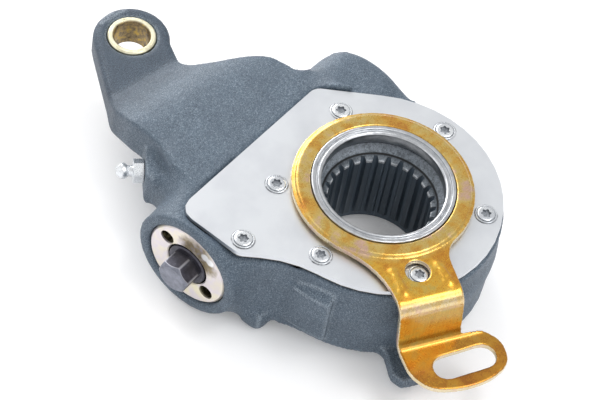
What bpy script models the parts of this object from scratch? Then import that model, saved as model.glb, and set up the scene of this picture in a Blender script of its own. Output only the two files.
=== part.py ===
# Automatic brake slack adjuster for a drum brake camshaft.
# Lengths are millimetres here and become metres in the mesh helpers. The camshaft axis is Z, the
# push rod eye lies along +Y, and the adjusting hexagon points along -X. Z = 0 is the housing's
# rear face.
import math

import bmesh
import bpy
import numpy as np
from mathutils import Matrix, Vector

metre = 0.001
full_turn = 2 * math.pi

# Facets round a full circle, for large, middling and small round forms
large_steps = 48
middle_steps = 28
small_steps = 20
tiny_steps = 12

# Shared fits
fit_gap = 0.3            # between pieces that touch or are pressed together
running_gap = 0.35       # between pieces that turn or slide past each other
sheet_gap = 0.3          # under the control arm, over the cover screws

# Housing casting
drum_wall = 12.5         # outside the control disc, at the parting line of the mould
drum_draft = 1.6         # how much slimmer the drum is at its ends
drum_foot_step = 5.8
drum_draft_height = 5.0
parting_z = 23.4
joint_face_z = 38.6      # machined face under the gasket
shoulder_top_z = 40.6    # cast face behind the cover
shoulder_low_z = 10.0
floor_thickness = 7.7
cast_edge = 2.0

# Smaller cast forms. Corners are (x, y, radius), seen from above
pad_reach = 2.2          # the pad stands this far outside the drum's belly
pad_low_z = 5.6
pad_slope_low_z = 29.5
pad_slope_high_z = 34.5
pad_start = math.radians(176)
pad_end = math.radians(197.5)
shelf_low_z = 15.0       # the shelf carries the grease nipple
shelf_high_z = 33.0
shelf_bevel = 2.5
shelf_corners = [(-36, 81, 0), (-39.9, 79.3, 0), (-49.2, 70.4, 1.5), (-49.2, 54, 0), (-34, 54, 0)]
web_low_z = 7.0          # the web runs from the drum to the spring case
web_high_z = 36.4
web_corners = [(34, 34, 0), (49.9, 34, 0), (49.2, 27, 0), (47.9, 21.5, 6), (45.5, 15, 6),
               (41.5, 8, 0), (34, 12, 0)]
lug_low_z = 1.8
lug_high_z = 7.4
lug_corners = [(-30, -20, 0), (-33.6, -33.9, 1), (-39.6, -41.5, 3), (-39.8, -46.5, 3),
               (-33.0, -51.0, 4), (-22.0, -46.0, 3), (-12, -38, 0)]
lump_low = (-55.5, 7.5, -2.2)
lump_high = (-45.5, 20, 9)
lump_bevel = 3.0

# Push rod eye
arm_length = 120.0
eye_radius = 15.0
eye_thickness = 12.0
flank_lean = 1.15        # slope of the leaning flank under the parting line
flank_lean_x = -38.9
shoulder_skew = math.radians(10)
eye_middle_z = parting_z
bush_outer_radius = 9.4
bush_inner_radius = 7.0
bush_length = 12.0

# Worm gear pair
worm_axis_z = 20.6
gear_depth = 3.3         # from the wheel's hub to the pitch circle
wheel_teeth = 24
worm_pitch_radius = 9.1
tooth_addendum = 2.0
tooth_root_clearance = 0.4
pressure_angle = math.radians(20)
pair_backlash = 0.55
wheel_face_width = 20.0
hub_wall = 5.0           # outside the spline's root
wheel_top_z = 38.8
wheel_rear_z = -2.0      # the hub stands a little proud of the rear face
worm_thread_length = 37.0

# Spline for the camshaft
spline_teeth = 26
spline_root_radius = 21.0
spline_depth = 1.7
spline_relief_depth = 3.2  # plain counterbore at the rear end
spline_mouth_step = 3.4  # the mouth's cone, outside the spline's root
spline_neck_step = 0.6
spline_mouth_depth = 2.8

# Worm shaft ends and bearing cap
hexagon_flats = 12.0
hexagon_length = 8.2
hexagon_tip_x = -71.0
hexagon_turn = math.radians(16)
boss_radius = 22.8
boss_face_x = -63.4
cap_face_x = -62.5
cap_thickness = 10.0
cap_radius = 17.6
cap_opening_radius = 9.0
shaft_collar_radius = 8.4
spanner_hole_radius = 3.0
spanner_hole_depth = 3.5
spanner_hole_ring = 12.5
spanner_hole_angle = math.radians(37)
seal_length = 1.9
cap_bearing_length = 3.4
bearing_outer_radius = 12.6

# One-way clutch and rack
clutch_chamber_radius = 16.0
clutch_core_radius = 4.6
clutch_wheel_radius = 13.0
clutch_wheel_length = 5.6
clutch_bore_radius = 8.0
pinion_teeth = 16
gear_module = 1.5
pinion_length = 9.5
pinion_web = 1.5
clutch_wire = 1.1
clutch_coils = 4
rack_half_width = 4.6
rack_top_z = 38.2
rack_low_y = 8.0
rack_reach = 9.2         # past the worm axis
rack_travel_up = 7.8
rack_travel_down = 5.0
lug_width = 4.0
lug_clearance = 1.0      # from the lug's tip to the control disc's hub

# Control disc and control arm
disc_wall = 2.5
disc_lip = 1.3           # the inner lip, inside the wall
disc_lip_edge = 0.6
disc_top_z = 46.0
disc_lip_height = 4.5
disc_flange_width = 7.6
disc_groove = (1.6, 0.9)  # how far in from the edge it starts, and how wide it is
disc_flange_low_z = 34.6
disc_flange_high_z = 38.3
notch_width = 8.0
notch_angle = math.radians(160.5)
arm_sheet = 2.3
collar_top_z = 45.8
collar_rise = 0.9        # collar above the flange round it
collar_width = 5.6
flange_width = 1.4
control_arm_angle = math.radians(-121)
leg_clearance = 4.9      # between the drum and the leg
leg_lean = 2.6           # how far the leg leans sideways on its way down
foot_top_z = 21.0
arm_bend = 4.8
slot_width = 9.8
slot_length = 24.6
slot_reach = 11.9        # from the leg's face to the slot's middle
slot_t = 9.8
slot_tilt = math.radians(3.4)
access_hole_radius = 4.6
access_hole_u = 39.1
access_hole_t = -2.15
arm_rib_width = 3.4
arm_rib_height = 0.8
arm_ribs = [(42.2, 6.6, 9, 11.5), (41.5, -10.6, 5, 13.0)]  # place (u, t), tilt, length

# Cover
cover_top_z = 41.5
cover_thickness = 1.8
cover_margin = 0.1       # inside the drum's edge
cover_left_x = -58.5
cover_right_x = 20.6
cover_far_reach = 9.7    # past the worm axis
cover_near_reach = 18.2  # before the worm axis
cover_waist = (11.8, 15.1, 44)   # from the left edge's near end, and its radius
gasket_thickness = 0.5
screw_head_radius = 4.1
screw_head_height = 0.8
screw_shank_radius = 2.3
screw_tip_z = 33.4
screw_ring_inset = 6.3   # from the cover's edge
screw_angles = [61.2, 0.1, -62.0, 130.1, 182.7, 237.7]
corner_screw_inset = (5.9, 2.5)  # from the cover's left edge and its near corner

# Main spring end
spring_case_radius = 21.9
spring_case_offset = 2.1  # from the worm axis, away from the wheel
spring_case_end_x = 50.5
spring_case_fillet = 8.0
spring_bore_radius = 13.7
spring_bore_x = 24.0
spring_wire = 4.0
spring_turns = 2.6
spring_seat_thickness = 2.2
spring_plug_thickness = 6.0
spring_guide_length = 9.0
journal_radius = 6.2
journal_reach = 5.5      # past the spring seat's flange
thrust_washer = 1.0
roller_radius = 0.8
roller_count = 10
worm_bush_length = 12.2
worm_bush_gap = 2.5      # from the worm thread's end
rear_seal_low_z = 2.7
rear_seal_height = 2.2
rear_seal_width = 2.1

# Grease nipple
nipple_base = (-43.9, 75.3, 25.5)
nipple_direction = (-0.69, 0.72)
nipple_flats = 8.0
nipple_nut_height = 4.2
nipple_neck_radius = 2.0
nipple_ball_length = 5.9
nipple_thread_radius = 2.3
nipple_thread_length = 5.4
nipple_reach = 10.5

# Values that follow from the sizes above
spline_tip_radius = spline_root_radius - spline_depth
spline_relief_radius = spline_root_radius + 0.2
spline_mouth_radius = spline_root_radius + spline_mouth_step
spline_neck_radius = spline_root_radius + spline_neck_step
spline_neck_z = wheel_top_z - spline_mouth_depth
wheel_hub_radius = spline_root_radius + hub_wall
wheel_pitch_radius = wheel_hub_radius + gear_depth
worm_axis_y = wheel_pitch_radius + worm_pitch_radius
rack_high_y = worm_axis_y + rack_reach
spring_case_y = worm_axis_y + spring_case_offset
disc_hub_radius = wheel_hub_radius + 2 * fit_gap + 0.1
disc_inner_radius = disc_hub_radius - disc_wall - disc_lip
disc_flange_radius = disc_hub_radius + disc_flange_width
collar_inner_radius = disc_hub_radius + fit_gap
collar_radius = collar_inner_radius + collar_width
flange_radius = collar_radius + flange_width
axial_pitch = full_turn * wheel_pitch_radius / wheel_teeth
wheel_tip_radius = wheel_pitch_radius + tooth_addendum
wheel_root_radius = wheel_pitch_radius - tooth_addendum - tooth_root_clearance
worm_tip_radius = worm_pitch_radius + tooth_addendum
worm_root_radius = worm_pitch_radius - tooth_addendum - tooth_root_clearance
worm_bore_radius = worm_tip_radius + 0.5
wheel_cavity_radius = wheel_tip_radius + 1.7
pinion_pitch_radius = pinion_teeth * gear_module / 2
rack_pitch_z = worm_axis_z + pinion_pitch_radius
gasket_low_z = joint_face_z + fit_gap
cover_low_z = cover_top_z - cover_thickness
eye_low_z = eye_middle_z - eye_thickness / 2
eye_high_z = eye_middle_z + eye_thickness / 2
drum_belly_radius = disc_flange_radius + drum_wall
drum_radius = drum_belly_radius - drum_draft
drum_foot_radius = drum_belly_radius - drum_foot_step
cover_radius = drum_radius - cover_margin
cover_far_y = worm_axis_y + cover_far_reach
cover_near_y = worm_axis_y - cover_near_reach
screw_ring_radius = cover_radius - screw_ring_inset
arm_low_z = cover_top_z + screw_head_height + sheet_gap
flange_top_z = collar_top_z - collar_rise
arm_face_u = drum_belly_radius + leg_clearance + arm_sheet
slot_u = arm_face_u + slot_reach
spring_flange_x = spring_bore_x + running_gap
screw_places = [(screw_ring_radius * math.cos(math.radians(angle)),
                 screw_ring_radius * math.sin(math.radians(angle))) for angle in screw_angles]
screw_places.append((cover_left_x + corner_screw_inset[0], cover_near_y + corner_screw_inset[1]))
cap_inner_x = cap_face_x + cap_thickness
cap_recess_x = cap_inner_x - seal_length - cap_bearing_length - 2 * fit_gap
clutch_wheel_x = cap_inner_x + fit_gap
pinion_x = clutch_wheel_x + clutch_wheel_length + running_gap
pinion_end_x = pinion_x + pinion_length
lug_tip_x = -(disc_hub_radius + lug_clearance)
rack_x = pinion_x + pinion_length / 2
worm_end_x = worm_thread_length / 2


# Scene and collections
for old in list(bpy.data.objects):
    bpy.data.objects.remove(old, do_unlink=True)

part_collection = bpy.data.collections.new("brake_slack_adjuster")
bpy.context.scene.collection.children.link(part_collection)
cutter_collection = bpy.data.collections.new("cutters")
bpy.context.scene.collection.children.link(cutter_collection)


def make_material(name, colour, roughness, metallic):
    material = bpy.data.materials.new(name)
    material.use_nodes = True
    shader = material.node_tree.nodes["Principled BSDF"]
    shader.inputs["Base Color"].default_value = (*colour, 1.0)
    shader.inputs["Roughness"].default_value = roughness
    shader.inputs["Metallic"].default_value = metallic
    return material


cast_iron = make_material("painted cast iron", (0.08, 0.1, 0.13), 0.75, 0.2)
bright_zinc = make_material("bright zinc plate", (0.75, 0.78, 0.82), 0.35, 1.0)
yellow_zinc = make_material("yellow zinc", (0.78, 0.5, 0.1), 0.35, 1.0)
machined_steel = make_material("machined steel", (0.6, 0.62, 0.66), 0.3, 1.0)
dark_steel = make_material("dark hardened steel", (0.14, 0.13, 0.13), 0.4, 1.0)
cap_zinc = make_material("cream zinc", (0.78, 0.72, 0.64), 0.4, 1.0)
bronze = make_material("bronze", (0.55, 0.42, 0.2), 0.35, 1.0)
seal_rubber = make_material("black seal rubber", (0.02, 0.02, 0.02), 0.7, 0.0)
gasket_paper = make_material("gasket paper", (0.2, 0.17, 0.13), 0.9, 0.0)
spring_steel = make_material("spring steel", (0.25, 0.25, 0.27), 0.4, 1.0)


# Mesh helpers
def mesh_object(name, mesh, collection, material=None):
    item = bpy.data.objects.new(name, mesh)
    collection.objects.link(item)
    if material:
        mesh.materials.append(material)
    return item


def evaluated_mesh(item):
    bpy.context.view_layer.update()
    graph = bpy.context.evaluated_depsgraph_get()
    return bpy.data.meshes.new_from_object(item.evaluated_get(graph), depsgraph=graph)


def bake(item):
    """Replace an object's mesh by what its modifiers make of it."""
    mesh = evaluated_mesh(item)
    item.modifiers.clear()
    item.data = mesh
    return item


def clean(mesh, flat_angle=0.0):
    """Weld stray vertices, turn faces outwards and merge flat neighbours where asked."""
    shape = bmesh.new()
    shape.from_mesh(mesh)
    bmesh.ops.remove_doubles(shape, verts=shape.verts, dist=0.000001)
    bmesh.ops.dissolve_degenerate(shape, edges=shape.edges, dist=0.000001)
    if flat_angle:
        bmesh.ops.dissolve_limit(shape, angle_limit=math.radians(flat_angle), verts=shape.verts,
                                 edges=shape.edges, use_dissolve_boundaries=False)
    bmesh.ops.recalc_face_normals(shape, faces=shape.faces)
    shape.to_mesh(mesh)
    shape.free()


def combine(item, other, operation, solver="EXACT"):
    modifier = item.modifiers.new(operation.lower(), "BOOLEAN")
    modifier.operation = operation
    modifier.object = other
    modifier.solver = solver
    bake(item)
    clean(item.data)
    bpy.data.objects.remove(other, do_unlink=True)
    return item


def cut(item, *cutters):
    for cutter in cutters:
        combine(item, cutter, "DIFFERENCE")
    return item


def join(item, *others):
    for other in others:
        combine(item, other, "UNION")
    return item


def place(item, position=(0, 0, 0), parent=None):
    item.location = Vector(position) * metre
    if parent:
        item.parent = parent
    return item


def turned(name, profile, steps, material=None, collection=None, hollow=False):
    """Turn a profile of (radius, height) points about Z. It runs down its outer side."""
    mesh = bpy.data.meshes.new(name)
    points = [(radius * metre, 0, height * metre) for radius, height in profile]
    edges = [(i, i + 1) for i in range(len(points) - 1)]
    if hollow:
        edges.append((len(points) - 1, 0))
    mesh.from_pydata(points, edges, [])
    item = mesh_object(name, mesh, collection or part_collection, material)
    screw = item.modifiers.new("turn", "SCREW")
    screw.axis = "Z"
    screw.angle = full_turn
    screw.steps = steps
    screw.render_steps = steps
    screw.use_merge_vertices = True
    screw.merge_threshold = 0.00001
    bake(item)
    clean(item.data)
    return item


def cylinder(name, radius, low, high, steps, material=None, collection=None):
    profile = [(0, high), (radius, high), (radius, low), (0, low)]
    return turned(name, profile, steps, material, collection)


def rod_cutter(radius, low, high, steps=32):
    return cylinder("cutter", radius, low, high, steps, collection=cutter_collection)


def outline_solid(name, points, low, high, material=None, collection=None):
    """Extrude a flat outline of (x, y) points from one height to another."""
    curve = bpy.data.curves.new(name, "CURVE")
    curve.dimensions = "2D"
    curve.fill_mode = "BOTH"
    curve.extrude = (high - low) / 2 * metre
    spline = curve.splines.new("POLY")
    spline.points.add(len(points) - 1)
    for point, (x, y) in zip(spline.points, points):
        point.co = (x * metre, y * metre, 0, 1)
    spline.use_cyclic_u = True
    source = bpy.data.objects.new(name + "_curve", curve)
    cutter_collection.objects.link(source)
    mesh = evaluated_mesh(source)
    bpy.data.objects.remove(source, do_unlink=True)
    clean(mesh, 0.5)
    mesh.transform(Matrix.Translation((0, 0, (high + low) / 2 * metre)))
    return mesh_object(name, mesh, collection or part_collection, material)


def box(name, low, high, collection, bevel=0.0):
    shape = bmesh.new()
    bmesh.ops.create_cube(shape, size=1)
    size = [(high[i] - low[i]) * metre for i in range(3)]
    middle = [(high[i] + low[i]) / 2 * metre for i in range(3)]
    bmesh.ops.scale(shape, verts=shape.verts, vec=size)
    bmesh.ops.translate(shape, verts=shape.verts, vec=middle)
    if bevel:
        bmesh.ops.bevel(shape, geom=shape.edges[:], offset=bevel * metre, segments=2,
                        affect="EDGES", profile=0.5)
    mesh = bpy.data.meshes.new(name)
    shape.to_mesh(mesh)
    shape.free()
    return mesh_object(name, mesh, collection)


def arc(centre, radius, start, end, count):
    """Points on an arc, angles in radians, both ends included."""
    step = (end - start) / count
    return [(centre[0] + radius * math.cos(start + step * i),
             centre[1] + radius * math.sin(start + step * i)) for i in range(count + 1)]


def round_corners(corners, steps=5):
    """Turn (x, y, radius) corners into outline points with arcs at the corners."""
    points = []
    total = len(corners)
    for i, (x, y, radius) in enumerate(corners):
        here = Vector((x, y))
        if radius <= 0:
            points.append((x, y))
            continue
        back = (Vector(corners[i - 1][:2]) - here).normalized()
        ahead = (Vector(corners[(i + 1) % total][:2]) - here).normalized()
        half = back.angle(ahead) / 2
        middle = here + (back + ahead).normalized() * (radius / math.sin(half))
        reach = radius / math.tan(half)
        first = here + back * reach - middle
        last = here + ahead * reach - middle
        sweep = first.angle_signed(last)
        for k in range(steps + 1):
            turned_point = middle + Matrix.Rotation(-sweep * k / steps, 2) @ first
            points.append((turned_point.x, turned_point.y))
    return points


def transform(item, matrix):
    item.data.transform(matrix)
    item.data.update()
    return item


def shift(item, offset):
    return transform(item, Matrix.Translation(Vector(offset) * metre))


def bevel_edges(item, width):
    modifier = item.modifiers.new("edge", "BEVEL")
    modifier.width = width * metre
    modifier.segments = 2
    modifier.limit_method = "ANGLE"
    modifier.angle_limit = math.radians(35)
    modifier.use_clamp_overlap = True
    return bake(item)


def smooth(item, angle=35):
    item.data.shade_smooth()
    item.data.set_sharp_from_angle(angle=math.radians(angle))
    return item


def along_x(item):
    """Lay a piece made along Z onto the worm axis, which runs along X."""
    turn = Matrix.Rotation(math.pi / 2, 4, "Y")
    move = Matrix.Translation(Vector((0, worm_axis_y, worm_axis_z)) * metre)
    return transform(item, move @ turn)


def hexagon(flats):
    return arc((0, 0), flats / 2 / math.cos(math.pi / 6), 0, full_turn * 5 / 6, 5)


def axis_empty(name, position, rotation=(0, 0, 0)):
    empty = bpy.data.objects.new(name, None)
    part_collection.objects.link(empty)
    empty.location = Vector(position) * metre
    empty.rotation_euler = rotation
    return empty


camshaft_axis = axis_empty("camshaft_axis", (0, 0, 0))
worm_axis = axis_empty("worm_axis", (0, worm_axis_y, worm_axis_z), (0, math.pi / 2, 0))


# Outlines that more than one piece follows
def cover_outline(grow=0.0):
    """The cover seen from above, grown outwards by an even margin."""
    radius = cover_radius + grow
    left = cover_left_x - grow
    far = cover_far_y + grow
    waist_x, waist_y, waist_radius = cover_waist
    corners = [(left, far, 6.0), (left, cover_near_y - grow * 0.34, 5.0),
               (cover_left_x + waist_x - grow * 0.9, cover_near_y - waist_y - grow * 0.4,
                waist_radius)]
    rim = arc((0, 0), radius, math.radians(-170), math.radians(37), large_steps // 2)
    corners += [(x, y, 0) for x, y in rim]
    corners += [(cover_right_x + grow, far, 5.0)]
    return round_corners(corners, 3)


def arm_flanks():
    """Flanks of the casting up to and round the push rod eye, seen from above, right to left."""
    corners = [(31.0, 20, 0), (31.0, 54.5, 0), (24.5, 59.0, 8), (22.6, 71.2, 9), (8.8, 85.2, 12),
               (1.2, 95.0, 7)]
    corners += [(x, y, 0) for x, y in arc((0, arm_length), eye_radius, math.radians(-56),
                                          math.radians(147), 14)]
    corners += [(-34.6, 99.2, 10), (-38.6, 88, 8), (-39.4, 74, 3), (-47.6, 57.5, 3),
                (-56.5, 50.0, 2), (-56.5, 20, 0)]
    return round_corners(corners, 4)


def flank_at(flank, y):
    """Where a flank of (x, y) points stands at y, and how much it slants there."""
    xs = [point[0] for point in flank]
    ys = [point[1] for point in flank]
    x = float(np.interp(y, ys, xs))
    slant = float(np.interp(y + 0.1, ys, xs) - np.interp(y - 0.1, ys, xs)) / 0.2
    return x, math.hypot(1, slant)


def rim_drop(distance):
    """How far a rounded rim has dropped at a distance inside the outline."""
    inside = max(0.0, cast_edge - distance)
    return cast_edge - math.sqrt(max(0.0, cast_edge ** 2 - inside ** 2))


def make_arm_body():
    """The cast shoulder and eye, lofted through sections across the arm, with rounded rims."""
    turn = Matrix.Rotation(shoulder_skew, 2)
    flanks = [turn @ Vector(point) for point in arm_flanks()]
    tip = max(range(len(flanks)), key=lambda i: flanks[i].y)
    right, left = flanks[:tip + 1], flanks[tip:][::-1]
    crest, valley = 79.0, 98.5
    top = round_corners([(20, shoulder_top_z, 0), (crest, shoulder_top_z, 12),
                         (valley, eye_high_z, 7), (150, eye_high_z, 0)])
    low = round_corners([(20, shoulder_low_z, 0), (crest + 3, shoulder_low_z, 12),
                         (valley + 1, eye_low_z, 7), (150, eye_low_z, 0)])
    wanted = sorted([point.y for point in flanks] + [y for y, z in top] + [y for y, z in low])
    stations = [32.0]
    for y in wanted:
        if stations[-1] + 1.2 < y < flanks[tip].y - 0.5:
            stations.append(y)
    stations.append(flanks[tip].y - 0.06)

    def distance(x, y):
        here = Vector((x, y))
        best = 1000.0
        for start, end in zip(flanks, flanks[1:]):
            along = end - start
            share = max(0.0, min(1.0, (here - start).dot(along) / along.length_squared))
            best = min(best, (here - start - along * share).length)
        return best

    sections = []
    for y in stations:
        x_left, slant_left = flank_at(left, y)
        x_right, slant_right = flank_at(right, y)
        half = (x_right - x_left) / 2
        steps = ((0, 0), (0.13, 0.3), (0.5, 0.6), (1, 0.9))
        xs = [x_left + min(cast_edge * a * slant_left, half * b) for a, b in steps]
        others = [x_right - min(cast_edge * a * slant_right, half * b) for a, b in steps]
        xs += [(xs[-1] + others[-1]) / 2] + others[::-1]
        high = float(np.interp(y, [p[0] for p in top], [p[1] for p in top]))
        under = float(np.interp(y, [p[0] for p in low], [p[1] for p in low]))
        upper = [(x, y, high - rim_drop(distance(x, y))) for x in xs]
        lower = []
        for x in reversed(xs):
            away = abs((turn.inverted() @ Vector((x, y))).x - flank_lean_x)
            floor = max(under, parting_z - flank_lean * away)
            lower.append((x, y, floor + rim_drop(distance(x, y))))
        sections.append(upper + lower)

    shape = bmesh.new()
    rings = [[shape.verts.new(Vector(point) * metre) for point in ring] for ring in sections]
    for ring, ahead in zip(rings, rings[1:]):
        for i in range(len(ring)):
            k = (i + 1) % len(ring)
            shape.faces.new((ring[i], ring[k], ahead[k], ahead[i]))
    shape.faces.new(rings[0])
    shape.faces.new(rings[-1])
    bmesh.ops.triangulate(shape, faces=shape.faces)
    mesh = bpy.data.meshes.new("arm")
    shape.to_mesh(mesh)
    shape.free()
    mesh.transform(Matrix.Rotation(-shoulder_skew, 4, "Z"))
    clean(mesh, 0.5)
    return mesh_object("arm", mesh, cutter_collection)


def make_housing():
    drum = turned("housing", [(0, joint_face_z), (drum_radius, joint_face_z),
                              (drum_belly_radius, parting_z),
                              (drum_radius, drum_draft_height), (drum_foot_radius + 1.5, 1.2),
                              (drum_foot_radius, 0), (0, 0)], large_steps, cast_iron)

    skirt = outline_solid("skirt", cover_outline(0.8), 3.0, joint_face_z - 0.2,
                          collection=cutter_collection)

    arm = make_arm_body()

    tunnel = along_x(turned("tunnel", [
        (0, 30), (boss_radius, 30), (boss_radius, boss_face_x + cast_edge),
        (boss_radius - cast_edge * 0.3, boss_face_x + cast_edge * 0.3),
        (boss_radius - cast_edge, boss_face_x), (0, boss_face_x)], middle_steps,
        collection=cutter_collection))

    reach = spring_case_radius
    fillet = arc((reach - spring_case_fillet, spring_case_end_x - spring_case_fillet),
                 spring_case_fillet, math.pi / 2, 0, 4)
    case = turned("case", [(0, spring_case_end_x)] + fillet + [(reach, 14), (0, 14)],
                  middle_steps, collection=cutter_collection)
    shift(along_x(case), (0, spring_case_y - worm_axis_y, 0))
    slab = box("slab", (-90, -90, 0.3), (90, 90, joint_face_z + 0.6), collection=cutter_collection)
    combine(case, slab, "INTERSECT")

    # A raised pad on the drum, with a sloping top, next to the bearing end
    pad_radius = drum_belly_radius + pad_reach
    pad_root = drum_radius - 4
    pad = turned("pad", [(pad_root, pad_slope_high_z + 1), (drum_radius, pad_slope_high_z),
                         (pad_radius, pad_slope_low_z), (pad_radius - 0.4, pad_low_z + 2.4),
                         (drum_radius - 0.4, pad_low_z), (pad_root, pad_low_z)],
                 large_steps * 2, hollow=True, collection=cutter_collection)
    wedge_points = [(0, 0)] + arc((0, 0), 2 * pad_radius, pad_start, pad_end, 3)
    combine(pad, outline_solid("wedge", wedge_points, 0, joint_face_z,
                               collection=cutter_collection), "INTERSECT")

    shelf = outline_solid("shelf", round_corners(shelf_corners, 2), shelf_low_z, shelf_high_z,
                          collection=cutter_collection)
    bevel_edges(shelf, shelf_bevel)
    web = outline_solid("web", round_corners(web_corners, 2), web_low_z, web_high_z,
                        collection=cutter_collection)
    lug = outline_solid("lug", round_corners(lug_corners, 3), lug_low_z, lug_high_z,
                        collection=cutter_collection)
    lump = box("lump", lump_low, lump_high, bevel=lump_bevel, collection=cutter_collection)
    join(drum, skirt, tunnel, case, arm, shelf, web, pad, lump, lug)
    cut(drum, outline_solid("cover_seat", cover_outline(0.6), joint_face_z, joint_face_z + 20,
                            collection=cutter_collection))

    # Bores, from the front face down and along the worm axis
    wheel_cavity = rod_cutter(wheel_cavity_radius, floor_thickness, joint_face_z + 5, large_steps)
    flange_pocket = rod_cutter(disc_flange_radius + running_gap, disc_flange_low_z - running_gap,
                               joint_face_z + 5, large_steps)
    wheel_bore = rod_cutter(wheel_hub_radius + fit_gap, -5, floor_thickness + 5, large_steps)
    seal_groove = rod_cutter(wheel_hub_radius + rear_seal_width + fit_gap,
                             rear_seal_low_z - fit_gap,
                             rear_seal_low_z + rear_seal_height + fit_gap, large_steps)
    cap_bore = along_x(rod_cutter(cap_radius + fit_gap, boss_face_x - 8, cap_inner_x + fit_gap,
                                  middle_steps))
    chamber = along_x(rod_cutter(clutch_chamber_radius, cap_inner_x - 1, pinion_end_x + 2,
                                 middle_steps))
    worm_bore = along_x(rod_cutter(worm_bore_radius, cap_inner_x, spring_bore_x + 1, middle_steps))
    spring_bore = along_x(rod_cutter(spring_bore_radius, spring_bore_x, spring_case_end_x + 5,
                                     middle_steps))
    eye_bore = shift(rod_cutter(bush_outer_radius + fit_gap, eye_low_z - 5, eye_high_z + 5,
                                middle_steps), (0, arm_length, 0))
    cut(drum, wheel_cavity, flange_pocket, wheel_bore, seal_groove, cap_bore, chamber, worm_bore,
        spring_bore, eye_bore)

    slot_edge = running_gap + 0.2
    slot_low_z = rack_pitch_z - 2.2
    slot_low_y = rack_low_y - rack_travel_down - slot_edge
    slot_left = rack_x - rack_half_width - slot_edge
    slot_right = rack_x + rack_half_width + slot_edge
    lug_end_x = lug_tip_x + 1.7
    rack_slot = box("rack_slot", (slot_left, slot_low_y, slot_low_z),
                    (slot_right, rack_high_y + rack_travel_up + slot_edge, rack_top_z + 0.2),
                    collection=cutter_collection)
    rack_top = box("rack_top", (slot_left, slot_low_y, rack_top_z - 1),
                   (slot_right, 46.4, joint_face_z + 3), collection=cutter_collection)
    lug_slot = box("lug_slot", (rack_x, slot_low_y, disc_flange_low_z - running_gap),
                   (lug_end_x, rack_low_y + lug_width + rack_travel_up + slot_edge,
                    joint_face_z + 3),
                   collection=cutter_collection)
    cut(drum, rack_slot, rack_top, lug_slot)
    for x, y in screw_places:
        cut(drum, shift(rod_cutter(screw_shank_radius + fit_gap, screw_tip_z - 0.4,
                                   joint_face_z + 5, 8), (x, y, 0)))
    cut(drum, nipple_frame(rod_cutter(nipple_thread_radius + 0.4, -nipple_thread_length - 1,
                                      nipple_nut_height, 8)))
    return smooth(drum)


def nipple_frame(item):
    """Stand a piece made along Z on the facet that carries the grease nipple."""
    away = Vector((*nipple_direction, 0)).normalized()
    turn = away.to_track_quat("Z", "X").to_matrix().to_4x4()
    return transform(item, Matrix.Translation(Vector(nipple_base) * metre) @ turn)


def make_clevis_bush():
    half = bush_length / 2
    profile = [(bush_outer_radius - 0.5, half + 0.25), (bush_outer_radius, half - 0.25),
               (bush_outer_radius, -half), (bush_inner_radius, -half),
               (bush_inner_radius, half - 0.35), (bush_inner_radius + 0.6, half + 0.25)]
    bush = turned("clevis_bush", profile, middle_steps, bronze, hollow=True)
    place(bush, (0, arm_length, eye_middle_z))
    return smooth(bush)


def make_grease_nipple():
    seat = fit_gap
    ball = nipple_ball_length
    nipple = turned("grease_nipple", [
        (0, nipple_reach), (nipple_neck_radius * 0.65, nipple_reach),
        (nipple_neck_radius * 1.5, nipple_reach - ball * 0.32),
        (nipple_neck_radius * 1.55, nipple_reach - ball * 0.51),
        (nipple_neck_radius, nipple_reach - ball * 0.78),
        (nipple_thread_radius, nipple_nut_height - seat),
        (nipple_thread_radius, -nipple_thread_length), (0, -nipple_thread_length)], tiny_steps,
        bright_zinc)
    nut = outline_solid("nut", hexagon(nipple_flats), seat, nipple_nut_height,
                        collection=cutter_collection)
    join(nipple, nut)
    return smooth(nipple_frame(nipple))


# Worm wheel and worm
def involute(angle):
    return math.tan(angle) - angle


def wheel_tooth_half_angle(radius):
    """Half of a tooth's angle at a radius, on an involute flank."""
    base = wheel_pitch_radius * math.cos(pressure_angle)
    at_pitch = (axial_pitch - pair_backlash) / 4 / wheel_pitch_radius
    local = math.acos(min(1.0, base / radius))
    return at_pitch + involute(pressure_angle) - involute(local)


def wheel_outline():
    points = []
    radii = [wheel_root_radius, wheel_pitch_radius, wheel_tip_radius]
    base = wheel_pitch_radius * math.cos(pressure_angle)
    for tooth in range(wheel_teeth):
        middle = math.pi / 2 + full_turn * tooth / wheel_teeth
        rising = [(r, -wheel_tooth_half_angle(max(r, base))) for r in radii]
        falling = [(r, wheel_tooth_half_angle(max(r, base))) for r in reversed(radii)]
        for radius, offset in rising + falling:
            points.append((radius * math.cos(middle + offset), radius * math.sin(middle + offset)))
    return points


def spline_outline(grow=0.0):
    points = []
    pitch_angle = full_turn / spline_teeth
    shares = [(-0.27, spline_tip_radius), (-0.13, spline_root_radius), (0.13, spline_root_radius),
              (0.27, spline_tip_radius)]
    for tooth in range(spline_teeth):
        for share, radius in shares:
            angle = pitch_angle * (tooth + share)
            points.append(((radius + grow) * math.cos(angle), (radius + grow) * math.sin(angle)))
    return points


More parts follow.
